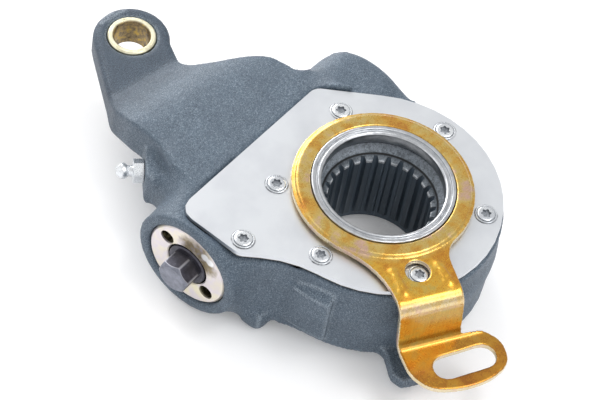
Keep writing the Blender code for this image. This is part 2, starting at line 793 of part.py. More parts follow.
def twisted_solid(name, points, low, high, twist, layers, collection, material=None):
    """Extrude an outline in layers, turning each layer about Z."""
    shape = bmesh.new()
    corners = [shape.verts.new((x * metre, y * metre, low * metre)) for x, y in points]
    face = shape.faces.new(corners)
    step = Matrix.Rotation(twist / layers, 3, "Z")
    rise = Vector((0, 0, (high - low) / layers * metre))
    ends = [face]
    for _ in range(layers):
        grown = bmesh.ops.extrude_face_region(shape, geom=ends)
        verts = [g for g in grown["geom"] if isinstance(g, bmesh.types.BMVert)]
        faces = [g for g in grown["geom"] if isinstance(g, bmesh.types.BMFace)]
        if ends[0] is not face:
            bmesh.ops.delete(shape, geom=ends, context="FACES_KEEP_BOUNDARY")
        bmesh.ops.rotate(shape, verts=verts, cent=(0, 0, 0), matrix=step)
        bmesh.ops.translate(shape, verts=verts, vec=rise)
        ends = faces
    bmesh.ops.recalc_face_normals(shape, faces=shape.faces)
    mesh = bpy.data.meshes.new(name)
    shape.to_mesh(mesh)
    shape.free()
    return mesh_object(name, mesh, collection, material)


def make_worm_wheel():
    half = wheel_face_width / 2
    lead_twist = wheel_face_width / (wheel_teeth * worm_pitch_radius)
    wheel = twisted_solid("worm_wheel", wheel_outline(), worm_axis_z - half, worm_axis_z + half,
                          lead_twist, 2, part_collection, dark_steel)
    transform(wheel, Matrix.Rotation(-lead_twist / 2, 4, "Z"))
    edge = 1.6
    rim = wheel_tip_radius + 0.2
    blank = turned("blank", [
        (0, worm_axis_z + half + 1), (rim - edge - 1.4, worm_axis_z + half + 1),
        (rim, worm_axis_z + half - edge), (rim, worm_axis_z - half + edge),
        (rim - edge - 1.4, worm_axis_z - half - 1), (0, worm_axis_z - half - 1)], large_steps,
        collection=cutter_collection)
    combine(wheel, blank, "INTERSECT")
    hub = turned("hub", [
        (0, wheel_top_z), (wheel_hub_radius - 0.6, wheel_top_z),
        (wheel_hub_radius, wheel_top_z - 0.6), (wheel_hub_radius, wheel_rear_z + 0.6),
        (wheel_hub_radius - 0.6, wheel_rear_z), (0, wheel_rear_z)], large_steps,
        collection=cutter_collection)
    shoulder = cylinder("shoulder", wheel_root_radius - 0.3, floor_thickness + fit_gap,
                        worm_axis_z, large_steps, collection=cutter_collection)
    join(wheel, hub, shoulder)
    spline = outline_solid("spline", spline_outline(), wheel_rear_z - 5, wheel_top_z + 5,
                           collection=cutter_collection)
    neck = spline_neck_radius
    tooth_top_z = spline_neck_z - (neck - spline_tip_radius) + 0.2
    top_chamfer = turned("chamfer", [
        (0, wheel_top_z + 2), (spline_mouth_radius + 2, wheel_top_z + 2),
        (spline_mouth_radius, wheel_top_z), (neck, spline_neck_z),
        (spline_tip_radius - 0.4, tooth_top_z), (0, tooth_top_z)], large_steps,
        collection=cutter_collection)
    relief_top_z = wheel_rear_z + spline_relief_depth
    relief = turned("relief", [(0, relief_top_z + 1.9), (spline_tip_radius, relief_top_z + 1.9),
                               (spline_relief_radius, relief_top_z),
                               (spline_relief_radius, wheel_rear_z + 0.5),
                               (spline_relief_radius + 1.5, wheel_rear_z - 1),
                               (0, wheel_rear_z - 1)], large_steps, collection=cutter_collection)
    cut(wheel, spline, top_chamfer, relief)
    place(wheel, (0, 0, 0), camshaft_axis)
    return smooth(wheel, 30)


def worm_thread(name):
    """One trapezoid thread, swept along its helix by a spin that climbs."""
    half_pitch_width = (axial_pitch - pair_backlash) / 4
    slope = math.tan(pressure_angle)
    sunk = worm_root_radius - 0.8
    low_width = half_pitch_width + (worm_pitch_radius - sunk) * slope
    high_width = half_pitch_width - tooth_addendum * slope
    turns = worm_thread_length / axial_pitch - 1
    steps_per_turn = 20
    steps = round(turns * steps_per_turn)
    start = -(steps / steps_per_turn) * axial_pitch / 2
    shape = bmesh.new()
    corners = [(sunk, -low_width), (worm_tip_radius, -high_width), (worm_tip_radius, high_width),
               (sunk, low_width)]
    verts = [shape.verts.new((r * metre, 0, (start + a) * metre)) for r, a in corners]
    face = shape.faces.new(verts)
    bmesh.ops.spin(shape, geom=[face], cent=(0, 0, 0), axis=(0, 0, 1),
                   dvec=(0, 0, axial_pitch / steps_per_turn * metre),
                   angle=full_turn * steps / steps_per_turn, steps=steps, use_duplicate=False,
                   use_merge=False)
    bmesh.ops.recalc_face_normals(shape, faces=shape.faces)
    mesh = bpy.data.meshes.new(name)
    shape.to_mesh(mesh)
    shape.free()
    thread = mesh_object(name, mesh, cutter_collection)
    # Half a turn past the side that faces the wheel, so a wheel tooth stands in a gap there
    wheel_side = 1.5 * math.pi
    start_angle = wheel_side + math.pi + full_turn * start / axial_pitch
    return transform(thread, Matrix.Rotation(start_angle, 4, "Z"))


def make_worm_shaft():
    start = hexagon_tip_x
    hexagon_end = start + hexagon_length
    collar_end = cap_inner_x - fit_gap
    core_start = collar_end + 0.4
    core_end = pinion_end_x + running_gap
    journal_start = worm_end_x + thrust_washer
    journal_end = spring_bore_x + spring_seat_thickness + journal_reach
    profile = [
        (0, journal_end), (journal_radius - 0.8, journal_end), (journal_radius, journal_end - 0.8),
        (journal_radius, journal_start), (worm_tip_radius - 1.4, journal_start),
        (worm_tip_radius - 1.4, worm_end_x), (worm_root_radius, worm_end_x - 1.5),
        (worm_root_radius, core_end), (clutch_core_radius, core_end),
        (clutch_core_radius, core_start), (shaft_collar_radius, core_start - 0.4),
        (shaft_collar_radius, hexagon_end + 0.5), (shaft_collar_radius - 0.5, hexagon_end),
        (0, hexagon_end)]
    shaft = turned("worm_shaft", profile, small_steps, dark_steel)
    tip = outline_solid("tip", hexagon(hexagon_flats), start, hexagon_end + 1,
                        collection=cutter_collection)
    corner = hexagon_flats / 2 / math.cos(math.pi / 6) + 0.1
    nose = turned("nose", [(0, hexagon_end + 3), (corner, hexagon_end + 3), (corner, start + 1.3),
                           (corner - 1.5, start - 0.01), (0, start - 0.01)], small_steps,
                  collection=cutter_collection)
    combine(tip, nose, "INTERSECT")
    transform(tip, Matrix.Rotation(math.pi + hexagon_turn, 4, "Z"))
    join(shaft, worm_thread("thread"), tip)
    shaft.parent = worm_axis
    return smooth(shaft, 30)


def make_bearing_cap():
    outer = cap_radius
    recess = bearing_outer_radius + fit_gap
    profile = [(cap_opening_radius + 0.4, cap_face_x), (outer - 0.8, cap_face_x),
               (outer, cap_face_x + 0.8), (outer, cap_inner_x), (recess, cap_inner_x),
               (recess, cap_recess_x), (cap_opening_radius, cap_recess_x),
               (cap_opening_radius, cap_face_x + 0.4)]
    cap = turned("bearing_cap", profile, middle_steps + 8, cap_zinc, hollow=True)
    for side in (0, math.pi):
        angle = side + math.pi / 2 + spanner_hole_angle
        hole = rod_cutter(spanner_hole_radius, cap_face_x - 2, cap_face_x + spanner_hole_depth, 16)
        shift(hole, (spanner_hole_ring * math.cos(angle), spanner_hole_ring * math.sin(angle), 0))
        cut(cap, hole)
    cap.parent = worm_axis
    return smooth(cap)


def ring(name, inner, outer, low, high, steps, material, parent=None):
    profile = [(inner, high), (outer, high), (outer, low), (inner, low)]
    item = turned(name, profile, steps, material, hollow=True)
    if parent:
        item.parent = parent
    return smooth(item)


def make_cap_seals():
    seal_x = cap_recess_x + fit_gap
    bearing_x = seal_x + seal_length + fit_gap
    inner = shaft_collar_radius + fit_gap
    ring("shaft_seal", inner, bearing_outer_radius, seal_x, seal_x + seal_length,
         small_steps, seal_rubber, worm_axis)
    ring("cap_bearing", inner, bearing_outer_radius, bearing_x, bearing_x + cap_bearing_length,
         small_steps, machined_steel, worm_axis)


def make_clutch():
    inner = clutch_core_radius + fit_gap
    low = clutch_wheel_x
    high = low + clutch_wheel_length
    web = 1.6
    profile = [(clutch_bore_radius, high), (clutch_wheel_radius - 1.6, high),
               (clutch_wheel_radius, high - 2.2), (clutch_wheel_radius, low + 0.6),
               (clutch_wheel_radius - 0.6, low), (inner, low), (inner, low + web),
               (clutch_bore_radius, low + web)]
    wheel = turned("clutch_wheel", profile, small_steps, dark_steel, hollow=True)
    wheel.parent = worm_axis
    smooth(wheel)

    mean = clutch_bore_radius - running_gap - clutch_wire / 2
    spring_low = low + web + running_gap + clutch_wire / 2
    spring_high = pinion_end_x - pinion_web - running_gap - clutch_wire / 2
    spring = coil("clutch_spring", mean, clutch_wire, spring_low, spring_high, clutch_coils,
                  tiny_steps, spring_steel)
    spring.parent = worm_axis

    pitch_angle = full_turn / pinion_teeth
    tip = pinion_pitch_radius + gear_module * 0.9
    root = pinion_pitch_radius - gear_module * 1.2
    points = []
    for tooth in range(pinion_teeth):
        for share, radius in ((-0.33, root), (-0.24, pinion_pitch_radius), (-0.11, tip),
                              (0.11, tip), (0.24, pinion_pitch_radius), (0.33, root)):
            angle = math.pi + pitch_angle * (tooth + share)
            points.append((radius * math.cos(angle), radius * math.sin(angle)))
    pinion = outline_solid("clutch_pinion", points, pinion_x, pinion_end_x, dark_steel)
    bore = rod_cutter(clutch_bore_radius, pinion_x - 3, pinion_end_x - pinion_web, small_steps)
    shaft_hole = rod_cutter(inner, pinion_x - 3, pinion_end_x + 3, small_steps)
    cut(pinion, bore, shaft_hole)
    pinion.parent = worm_axis
    smooth(pinion, 30)


def coil(name, mean, wire, low, high, turns, per_turn, material):
    curve = bpy.data.curves.new(name, "CURVE")
    curve.dimensions = "3D"
    curve.bevel_depth = wire / 2 * metre
    curve.bevel_resolution = 2
    curve.use_fill_caps = True
    count = round(turns * per_turn)
    spline = curve.splines.new("POLY")
    spline.points.add(count)
    for i, point in enumerate(spline.points):
        angle = full_turn * i / per_turn
        height = low + (high - low) * i / count
        point.co = (mean * math.cos(angle) * metre, mean * math.sin(angle) * metre,
                    height * metre, 1)
    source = bpy.data.objects.new(name + "_curve", curve)
    cutter_collection.objects.link(source)
    mesh = evaluated_mesh(source)
    bpy.data.objects.remove(source, do_unlink=True)
    clean(mesh)
    return smooth(mesh_object(name, mesh, part_collection, material), 60)


def make_rack():
    pitch = math.pi * gear_module
    tip_z = rack_pitch_z - gear_module * 0.9
    root_z = rack_pitch_z + gear_module * 1.2
    points = [(rack_low_y, root_z)]
    first = worm_axis_y - pitch * 2.5
    for tooth in range(5):
        middle = first + pitch * tooth
        for share, z in ((-0.36, root_z), (-0.12, tip_z), (0.12, tip_z), (0.36, root_z)):
            points.append((middle + pitch * share, z))
    points += [(rack_high_y, root_z), (rack_high_y, rack_top_z), (rack_low_y, rack_top_z)]
    rack = outline_solid("rack", points, rack_x - rack_half_width, rack_x + rack_half_width,
                         dark_steel)
    upright = Matrix(((0, 0, 1, 0), (1, 0, 0, 0), (0, 1, 0, 0), (0, 0, 0, 1)))
    transform(rack, upright)
    lug_points = round_corners([(rack_x, rack_low_y + 0.05, 0), (lug_tip_x, rack_low_y + 0.05, 1.2),
                                (lug_tip_x, rack_low_y + lug_width, 1.2),
                                (rack_x, rack_low_y + lug_width, 0)], 4)
    lug = outline_solid("lug", lug_points, root_z + 0.35, rack_top_z - 0.1,
                        collection=cutter_collection)
    combine(rack, lug, "UNION", "MANIFOLD")
    return smooth(rack, 30)


def make_control_disc():
    wall = disc_hub_radius - disc_wall
    lip_low = disc_top_z - disc_lip_height
    groove = 0.7
    groove_end = disc_hub_radius - disc_groove[0] + 0.3
    groove_start = groove_end - disc_groove[1] - 0.2
    step_z = wheel_top_z + fit_gap * 2
    profile = [
        (disc_inner_radius, disc_top_z - disc_lip_edge),
        (disc_inner_radius + disc_lip_edge, disc_top_z),
        (groove_start, disc_top_z), (groove_start + 0.2, disc_top_z - groove),
        (groove_end - 0.2, disc_top_z - groove), (groove_end, disc_top_z),
        (disc_hub_radius, disc_top_z), (disc_hub_radius, disc_flange_high_z),
        (disc_flange_radius, disc_flange_high_z), (disc_flange_radius, disc_flange_low_z),
        (wheel_hub_radius + fit_gap + 0.1, disc_flange_low_z),
        (wheel_hub_radius + fit_gap + 0.1, step_z), (wall, step_z), (wall, lip_low),
        (disc_inner_radius, lip_low)]
    disc = turned("control_disc", profile, large_steps, machined_steel, hollow=True)
    notch = box("notch", (disc_hub_radius + 0.25, -notch_width / 2, disc_flange_low_z - 2),
                (disc_flange_radius + 4, notch_width / 2, disc_flange_high_z + 0.4),
                collection=cutter_collection)
    transform(notch, Matrix.Rotation(notch_angle, 4, "Z"))
    cut(disc, notch)
    disc.parent = camshaft_axis
    return smooth(disc, 30)


def make_collar():
    """The turned part of the control arm: a raised collar with a flange round it."""
    edge = 0.25
    top = arc((collar_radius - collar_rise, flange_top_z), collar_rise, math.pi / 2, 0, 3)
    skirt_z = cover_top_z + fit_gap
    skirt_radius = collar_radius - 0.3
    profile = [(collar_inner_radius, collar_top_z - edge),
               (collar_inner_radius + edge, collar_top_z)]
    profile += top + [(flange_radius - edge, flange_top_z), (flange_radius, flange_top_z - edge),
                      (flange_radius, arm_low_z + edge), (flange_radius - edge, arm_low_z),
                      (skirt_radius, arm_low_z), (skirt_radius, skirt_z),
                      (skirt_radius - arm_sheet + 0.3, skirt_z),
                      (skirt_radius - arm_sheet + 0.3, collar_top_z - arm_sheet),
                      (collar_inner_radius, collar_top_z - arm_sheet)]
    return turned("control_arm", profile, large_steps, yellow_zinc, hollow=True)


def make_arm_strip():
    """The arm's sheet seen from the side, u along the arm, drawn out across it."""
    face = arm_face_u
    back = arm_face_u - arm_sheet
    tight = arm_bend - arm_sheet
    foot_low_z = foot_top_z - arm_sheet
    toe = slot_u + slot_width * 1.5
    strip = arc((face - arm_bend, flange_top_z - arm_bend), arm_bend, math.pi / 2, 0, 6)
    strip += arc((face + tight, foot_top_z + tight), tight, math.pi, 1.5 * math.pi, 4)
    strip += [(toe, foot_top_z), (toe, foot_low_z)]
    strip += arc((back + arm_bend, foot_low_z + arm_bend), arm_bend, 1.5 * math.pi, math.pi, 6)
    strip += arc((back - tight, arm_low_z - tight), tight, 0, math.pi / 2, 4)
    strip += [(flange_radius / 2, arm_low_z), (flange_radius / 2, flange_top_z)]
    band = outline_solid("band", strip, -flange_radius, flange_radius,
                         collection=cutter_collection)
    return transform(band, Matrix(((1, 0, 0, 0), (0, 0, -1, 0), (0, 1, 0, 0), (0, 0, 0, 1))))


def control_arm_plan():
    """The arm's sheet seen from above before its leg leans, along (u) and across (t)."""
    face = arm_face_u
    rim = flange_radius
    left = arc((0, 0), rim - 0.3, math.radians(-60), math.radians(-48.7), 3)
    right = arc((0, 0), rim - 0.3, math.radians(32.4), math.radians(44), 3)
    corners = [(x, y, 0) for x, y in left]
    corners += [(rim + 2.8, -14.1, 34), (face + 3, -14.4, 14), (face + 12.3, -14.3, 14),
                (face + 19.9, -9.0, 12), (face + 22.5, 1.4, 35), (face + 21.6, 14.4, 24),
                (face + 16.5, 23.2, 8), (face + 7, 24.0, 9), (face + 0.9, 18.9, 5),
                (face + 0.6, 10.5, 0), (rim - 1.1, 11.4, 11)]
    corners += [(x, y, 0) for x, y in right]
    return round_corners(corners)


def make_control_arm():
    arm = make_collar()
    band = make_arm_strip()
    sheet = outline_solid("sheet", control_arm_plan(), foot_top_z - 2 * arm_sheet,
                          collar_top_z + arm_sheet, collection=cutter_collection)
    combine(band, sheet, "INTERSECT")
    drop = flange_top_z - foot_top_z
    for vert in band.data.vertices:
        fallen = flange_top_z * metre - vert.co.z
        share = max(0.0, min(1.0, (fallen - arm_sheet * metre) / ((drop - arm_sheet) * metre)))
        vert.co.y += leg_lean * share * metre
    half = slot_length / 2 - slot_width / 2
    slot_points = arc((0, half), slot_width / 2, 0, math.pi, 8)
    slot_points += arc((0, -half), slot_width / 2, math.pi, full_turn, 8)
    slot = outline_solid("slot", slot_points, foot_top_z - 3 * arm_sheet,
                         foot_top_z + 3 * arm_sheet, collection=cutter_collection)
    transform(slot, Matrix.Translation(Vector((slot_u, slot_t, 0)) * metre)
              @ Matrix.Rotation(slot_tilt, 4, "Z"))
    access = shift(rod_cutter(access_hole_radius, arm_low_z - arm_sheet, collar_top_z + arm_sheet,
                              24), (access_hole_u, access_hole_t, 0))
    inside = rod_cutter(collar_radius - 1, arm_low_z - 1, flange_top_z + 1, large_steps)
    cut(band, slot, access, inside)
    for u, t, tilt, length in arm_ribs:
        end = length / 2 - arm_rib_width / 2
        rib_points = arc((end, 0), arm_rib_width / 2, -math.pi / 2, math.pi / 2, 5)
        rib_points += arc((-end, 0), arm_rib_width / 2, math.pi / 2, 1.5 * math.pi, 5)
        rib = outline_solid("rib", rib_points, flange_top_z - 0.6, flange_top_z + arm_rib_height,
                            collection=cutter_collection)
        for vert in rib.data.vertices:
            if vert.co.z > flange_top_z * metre:
                vert.co.x *= 0.93
                vert.co.y *= 0.65
        transform(rib, Matrix.Translation(Vector((u, t, 0)) * metre)
                  @ Matrix.Rotation(math.radians(tilt), 4, "Z"))
        join(band, rib)
    transform(band, Matrix.Rotation(control_arm_angle, 4, "Z"))
    join(arm, band)
    arm.parent = camshaft_axis
    return smooth(arm, 30)


def make_cover():
    plate = outline_solid("cover_plate", cover_outline(), cover_low_z, cover_top_z, bright_zinc)
    gasket = outline_solid("cover_gasket", cover_outline(-0.3), gasket_low_z,
                           gasket_low_z + gasket_thickness, gasket_paper)
    for sheet in (plate, gasket):
        cut(sheet, rod_cutter(disc_hub_radius + running_gap, screw_tip_z, collar_top_z,
                              large_steps))
        for x, y in screw_places:
            cut(sheet, shift(rod_cutter(screw_shank_radius + fit_gap, screw_tip_z, collar_top_z,
                                        8), (x, y, 0)))
    smooth(plate)
    smooth(gasket)


def make_cover_screws():
    head_low = cover_top_z + fit_gap * 0.5
    head_high = cover_top_z + screw_head_height
    profile = [(0, head_high - 0.7), (1.6, head_high), (screw_head_radius, head_high - 0.1),
               (screw_head_radius, head_low), (screw_shank_radius, head_low),
               (screw_shank_radius, screw_tip_z), (0, screw_tip_z)]
    first = smooth(turned("cover_screw_1", profile, tiny_steps, bright_zinc))
    place(first, (*screw_places[0], 0))
    for number, (x, y) in enumerate(screw_places[1:], start=2):
        place(mesh_object(f"cover_screw_{number}", first.data, part_collection), (x, y, 0))


def make_spring_end():
    low = worm_end_x + thrust_washer + fit_gap
    inner = journal_radius + fit_gap
    outer = worm_tip_radius - 0.6
    ring("thrust_washer_front", inner, outer, low, low + thrust_washer, small_steps,
         machined_steel, worm_axis)
    roller_low = low + thrust_washer + 0.05
    roller_x = roller_low + roller_radius + 0.2
    seat_low = roller_x + roller_radius + 0.25
    middle = (inner + outer) / 2
    half = (outer - inner) / 2 - 0.25
    web = 0.35
    cage = ring("roller_cage", middle - half, middle + half, roller_x - web, roller_x + web,
                small_steps, machined_steel)
    for i in range(roller_count):
        roller = cylinder("roller", roller_radius, -half + 0.4, half - 0.4, 6,
                          collection=cutter_collection)
        spoke = Matrix.Rotation(full_turn * i / roller_count, 4, "Z")
        reach = Matrix.Translation(Vector((middle, 0, roller_x)) * metre)
        join(cage, transform(roller, spoke @ reach @ Matrix.Rotation(math.pi / 2, 4, "Y")))
    cage.parent = worm_axis
    smooth(cage)

    flange = spring_bore_radius - running_gap
    guide = journal_radius + fit_gap + 1.6
    spring_inner = spring_bore_radius - 0.5 - spring_wire
    guide_end = seat_low + spring_guide_length
    flange_end = spring_flange_x + spring_seat_thickness
    seat_profile = [(inner, guide_end), (guide, guide_end), (guide, flange_end),
                    (flange, flange_end), (flange, spring_flange_x), (outer, spring_flange_x),
                    (outer, seat_low), (inner, seat_low)]
    seat = turned("spring_seat", seat_profile, small_steps, machined_steel, hollow=True)
    seat.parent = worm_axis
    smooth(seat)

    plug_low = spring_case_end_x - spring_plug_thickness
    start = flange_end + spring_wire / 2 + fit_gap
    end = plug_low - spring_wire / 2 - fit_gap
    spring = coil("main_spring", spring_inner + spring_wire / 2, spring_wire, start, end,
                  spring_turns, 16, spring_steel)
    spring.parent = worm_axis

    plug = turned("spring_plug", [
        (0, spring_case_end_x - 0.3), (spring_bore_radius - 1.0, spring_case_end_x - 0.3),
        (spring_bore_radius - fit_gap, spring_case_end_x - 1.0),
        (spring_bore_radius - fit_gap, plug_low), (0, plug_low)], middle_steps, dark_steel)
    plug.parent = worm_axis
    smooth(plug)


def make_bearings_and_seals():
    ring("worm_bush", worm_root_radius + fit_gap, worm_bore_radius - fit_gap,
         -worm_end_x - worm_bush_gap - worm_bush_length, -worm_end_x - worm_bush_gap, small_steps,
         bronze, worm_axis)
    ring("rear_seal", wheel_hub_radius + fit_gap, wheel_hub_radius + rear_seal_width,
         rear_seal_low_z, rear_seal_low_z + rear_seal_height, large_steps, seal_rubber)
    collar_seal_high = collar_top_z - arm_sheet - fit_gap
    ring("collar_seal", disc_hub_radius + fit_gap, collar_radius - arm_sheet - fit_gap,
         cover_top_z + fit_gap, collar_seal_high, large_steps, seal_rubber, camshaft_axis)


make_housing()
make_clevis_bush()
make_grease_nipple()
make_worm_wheel()
make_worm_shaft()
make_bearing_cap()
make_cap_seals()
make_clutch()
make_rack()
make_control_disc()
make_control_arm()
make_cover()
make_cover_screws()
make_spring_end()
make_bearings_and_seals()
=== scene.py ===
import math

import bmesh
import bpy
from mathutils import Matrix, Vector
from mathutils.kdtree import KDTree


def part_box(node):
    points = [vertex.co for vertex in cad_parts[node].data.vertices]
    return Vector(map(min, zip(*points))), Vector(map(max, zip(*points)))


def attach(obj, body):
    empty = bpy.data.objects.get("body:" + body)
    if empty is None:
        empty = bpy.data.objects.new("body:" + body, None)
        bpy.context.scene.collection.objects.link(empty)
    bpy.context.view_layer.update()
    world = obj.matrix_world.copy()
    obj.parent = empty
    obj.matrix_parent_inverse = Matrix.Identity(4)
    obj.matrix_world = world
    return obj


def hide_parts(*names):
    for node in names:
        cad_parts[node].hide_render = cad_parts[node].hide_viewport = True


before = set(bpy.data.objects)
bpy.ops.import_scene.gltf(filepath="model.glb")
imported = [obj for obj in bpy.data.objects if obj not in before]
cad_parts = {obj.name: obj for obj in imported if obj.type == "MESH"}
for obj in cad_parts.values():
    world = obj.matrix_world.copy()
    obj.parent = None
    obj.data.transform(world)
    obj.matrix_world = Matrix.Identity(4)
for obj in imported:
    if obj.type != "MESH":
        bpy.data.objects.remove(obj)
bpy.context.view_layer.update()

# Brake slack adjuster. The camshaft axis is Z, the push rod eye lies along +Y and the
# adjusting hexagon points along -X. Sizes in the dictionaries are millimetres.
mm = 0.001
wormAxis = Vector((0, 38.4, 20.6)) * mm
fullTurn = 2 * math.pi


# Nodes and materials
def srgb(code):
    channels = [int(code[i:i + 2], 16) / 255 for i in (1, 3, 5)]
    linear = [c / 12.92 if c <= 0.04045 else ((c + 0.055) / 1.055) ** 2.4 for c in channels]
    return (*linear, 1.0)


def addNode(tree, kind, settings=None, links=None):
    node = tree.nodes.new(kind)
    for key, value in (settings or {}).items():
        if key in node.inputs:
            node.inputs[key].default_value = value
        else:
            setattr(node, key, value)
    for key, source in (links or {}).items():
        tree.links.new(source, node.inputs[key])
    return node


def startMaterial(name, metallic, roughness):
    material = bpy.data.materials.new(name)
    material.use_nodes = True
    tree = material.node_tree
    shader = tree.nodes["Principled BSDF"]
    shader.inputs["Metallic"].default_value = metallic
    shader.inputs["Roughness"].default_value = roughness
    place = addNode(tree, "ShaderNodeTexCoord").outputs["Object"]
    return material, tree, shader, place


def ramp(tree, source, stops):
    node = addNode(tree, "ShaderNodeValToRGB", links={"Fac": source})
    band = node.color_ramp
    while len(band.elements) < len(stops):
        band.elements.new(0.5)
    for element, (where, colour) in zip(band.elements, stops):
        element.position = where
        element.color = srgb(colour)
    return node.outputs["Color"]


def grain(tree, place, size, detail=2.0, rough=0.5):
    node = addNode(tree, "ShaderNodeTexNoise",
                   {"Scale": 1 / (size * mm), "Detail": detail, "Roughness": rough},
                   {"Vector": place})
    return node.outputs["Fac"]


def mixColour(tree, share, first, second, mode="MIX"):
    # Of a colour mix, sockets 0, 6 and 7 are the share and the two colours
    node = addNode(tree, "ShaderNodeMix", {"data_type": "RGBA", "blend_type": mode})
    for socket, value in ((0, share), (6, first), (7, second)):
        if isinstance(value, bpy.types.NodeSocket):
            tree.links.new(value, node.inputs[socket])
        else:
            node.inputs[socket].default_value = value
    return node.outputs[2]


def rangeOf(tree, source, low, high, fromLow=0.3, fromHigh=0.7):
    node = addNode(tree, "ShaderNodeMapRange",
                   {"From Min": fromLow, "From Max": fromHigh, "To Min": low, "To Max": high},
                   {"Value": source})
    return node.outputs["Result"]


def bump(tree, shader, height, depth, strength=1.0, under=None):
    links = {"Height": height}
    if under:
        links["Normal"] = under
    node = addNode(tree, "ShaderNodeBump", {"Distance": depth * mm, "Strength": strength}, links)
    tree.links.new(node.outputs["Normal"], shader.inputs["Normal"])
    return node.outputs["Normal"]


def blend(tree, value, low, high):
    # 0 to 1 as a length in metres goes from low to high, given in millimetres
    return rangeOf(tree, value, 0.0, 1.0, low * mm, high * mm)


def reckon(tree, operation, first, second=None):
    node = addNode(tree, "ShaderNodeMath", {"operation": operation}, {0: first})
    if isinstance(second, bpy.types.NodeSocket):
        tree.links.new(second, node.inputs[1])
    elif second is not None:
        node.inputs[1].default_value = second
    return node.outputs["Value"]


def stretched(tree, place, scale):
    node = addNode(tree, "ShaderNodeVectorMath", {"operation": "MULTIPLY"}, {0: place})
    node.inputs[1].default_value = scale
    return node.outputs["Vector"]


def aboutAxis(tree, place, centre, axis):
    # How far a spot is from a turning axis, and how far along it
    offset = addNode(tree, "ShaderNodeVectorMath", {"operation": "SUBTRACT"}, {0: place})
    offset.inputs[1].default_value = centre
    flat = stretched(tree, offset.outputs["Vector"], [0 if i == axis else 1 for i in range(3)])
    away = addNode(tree, "ShaderNodeVectorMath", {"operation": "LENGTH"}, {0: flat})
    parts = addNode(tree, "ShaderNodeSeparateXYZ", links={"Vector": offset.outputs["Vector"]})
    return away.outputs["Value"], parts.outputs[axis]


def nearSpot(tree, place, spot, inner, outer, warp=None, warpSize=0.0):
    # 1 at a spot, 0 outside it, with an uneven border where a pattern warps it
    gap = addNode(tree, "ShaderNodeVectorMath", {"operation": "DISTANCE"}, {0: place})
    gap.inputs[1].default_value = [c * mm for c in spot]
    value = gap.outputs["Value"]
    if warp:
        value = reckon(tree, "ADD", value, reckon(tree, "MULTIPLY", warp, warpSize * mm))
    return rangeOf(tree, value, 1.0, 0.0, inner * mm, outer * mm)


def castIronMaterial():
    # Sand cast iron under a thin grey coat: sandy grain, pale where the grains catch light and
    # along the edges (partly wear, partly painted highlight), darker on the eye as painted shade
    look = {"dark": "#3A4753", "middle": "#546372", "pale": "#8A97A2", "grainSize": 0.42,
            "pitSize": 1.1, "blotchSize": 11.0, "edgeWearSheenTint": "#9AA5AF", "eye": (88, 102)}
    material, tree, shader, place = startMaterial("sand cast iron, dark coat", 0.1, 0.6)
    sand = grain(tree, place, look["grainSize"], 3.0, 0.7)
    pits = grain(tree, place, look["pitSize"], 3.0, 0.6)
    blotch = grain(tree, place, look["blotchSize"], 4.0, 0.55)
    colour = ramp(tree, sand, [(0.3, look["dark"]), (0.5, look["middle"]), (0.7, look["pale"])])
    shade = ramp(tree, blotch, [(0.3, "#CDD1D5"), (0.7, "#FFFFFF")])
    dust = ramp(tree, pits, [(0.3, "#C6CBD0"), (0.62, "#FFFFFF")])
    colour = mixColour(tree, 0.6, colour, shade, "MULTIPLY")
    colour = mixColour(tree, 0.6, colour, dust, "MULTIPLY")
    parts = addNode(tree, "ShaderNodeSeparateXYZ", links={"Vector": place})
    # Painted shade: the eye end is darkened
    eyeShade = blend(tree, parts.outputs["Y"], *look["eye"])
    colour = mixColour(tree, eyeShade, colour, srgb("#BDC3CA"), "MULTIPLY")
    # Pale edges: partly wear, partly a painted edge highlight
    edge = addNode(tree, "ShaderNodeAttribute", {"attribute_name": "edgeWearSheen"}).outputs["Fac"]
    worn = reckon(tree, "MULTIPLY", edge, rangeOf(tree, sand, 0.1, 0.65, 0.4, 0.6))
    colour = mixColour(tree, worn, colour, srgb(look["edgeWearSheenTint"]))
    tree.links.new(colour, shader.inputs["Base Color"])
    tree.links.new(rangeOf(tree, sand, 0.62, 0.4), shader.inputs["Roughness"])
    coarse = bump(tree, shader, pits, 0.3, 0.6)
    bump(tree, shader, sand, 0.18, 0.9, coarse)
    return material


def brightZincMaterial(name, tint, dull, rough, spots=()):
    # Zinc plated steel: pale, slightly cloudy, faint rolling lines, painted shade ringing the
    # screws
    look = {"cloudSize": 14.0, "lineSize": 0.5, "ring": (3.9, 4.2, 4.6), "screwShade": "#4C5057"}
    material, tree, shader, place = startMaterial(name, 0.85, rough)
    cloud = grain(tree, place, look["cloudSize"], 3.0)
    fine = grain(tree, place, look["lineSize"], 2.0)
    colour = ramp(tree, cloud, [(0.3, dull), (0.6, tint)])
    flat = stretched(tree, place, (1, 1, 0))
    patchy = rangeOf(tree, grain(tree, place, 2.5, 2.0), 0.1, 0.9, 0.42, 0.56)
    # Painted shade: a dark ring round each screw head
    for spot in spots:
        inner, middle, outer = look["ring"]
        outside = nearSpot(tree, flat, spot, middle, outer)
        inside = nearSpot(tree, flat, spot, inner, middle)
        ring = reckon(tree, "MULTIPLY", reckon(tree, "SUBTRACT", outside, inside), patchy)
        colour = mixColour(tree, ring, colour, srgb(look["screwShade"]))
    tree.links.new(colour, shader.inputs["Base Color"])
    tree.links.new(rangeOf(tree, fine, rough - 0.06, rough + 0.08), shader.inputs["Roughness"])
    bump(tree, shader, fine, 0.02, 0.5)
    return material


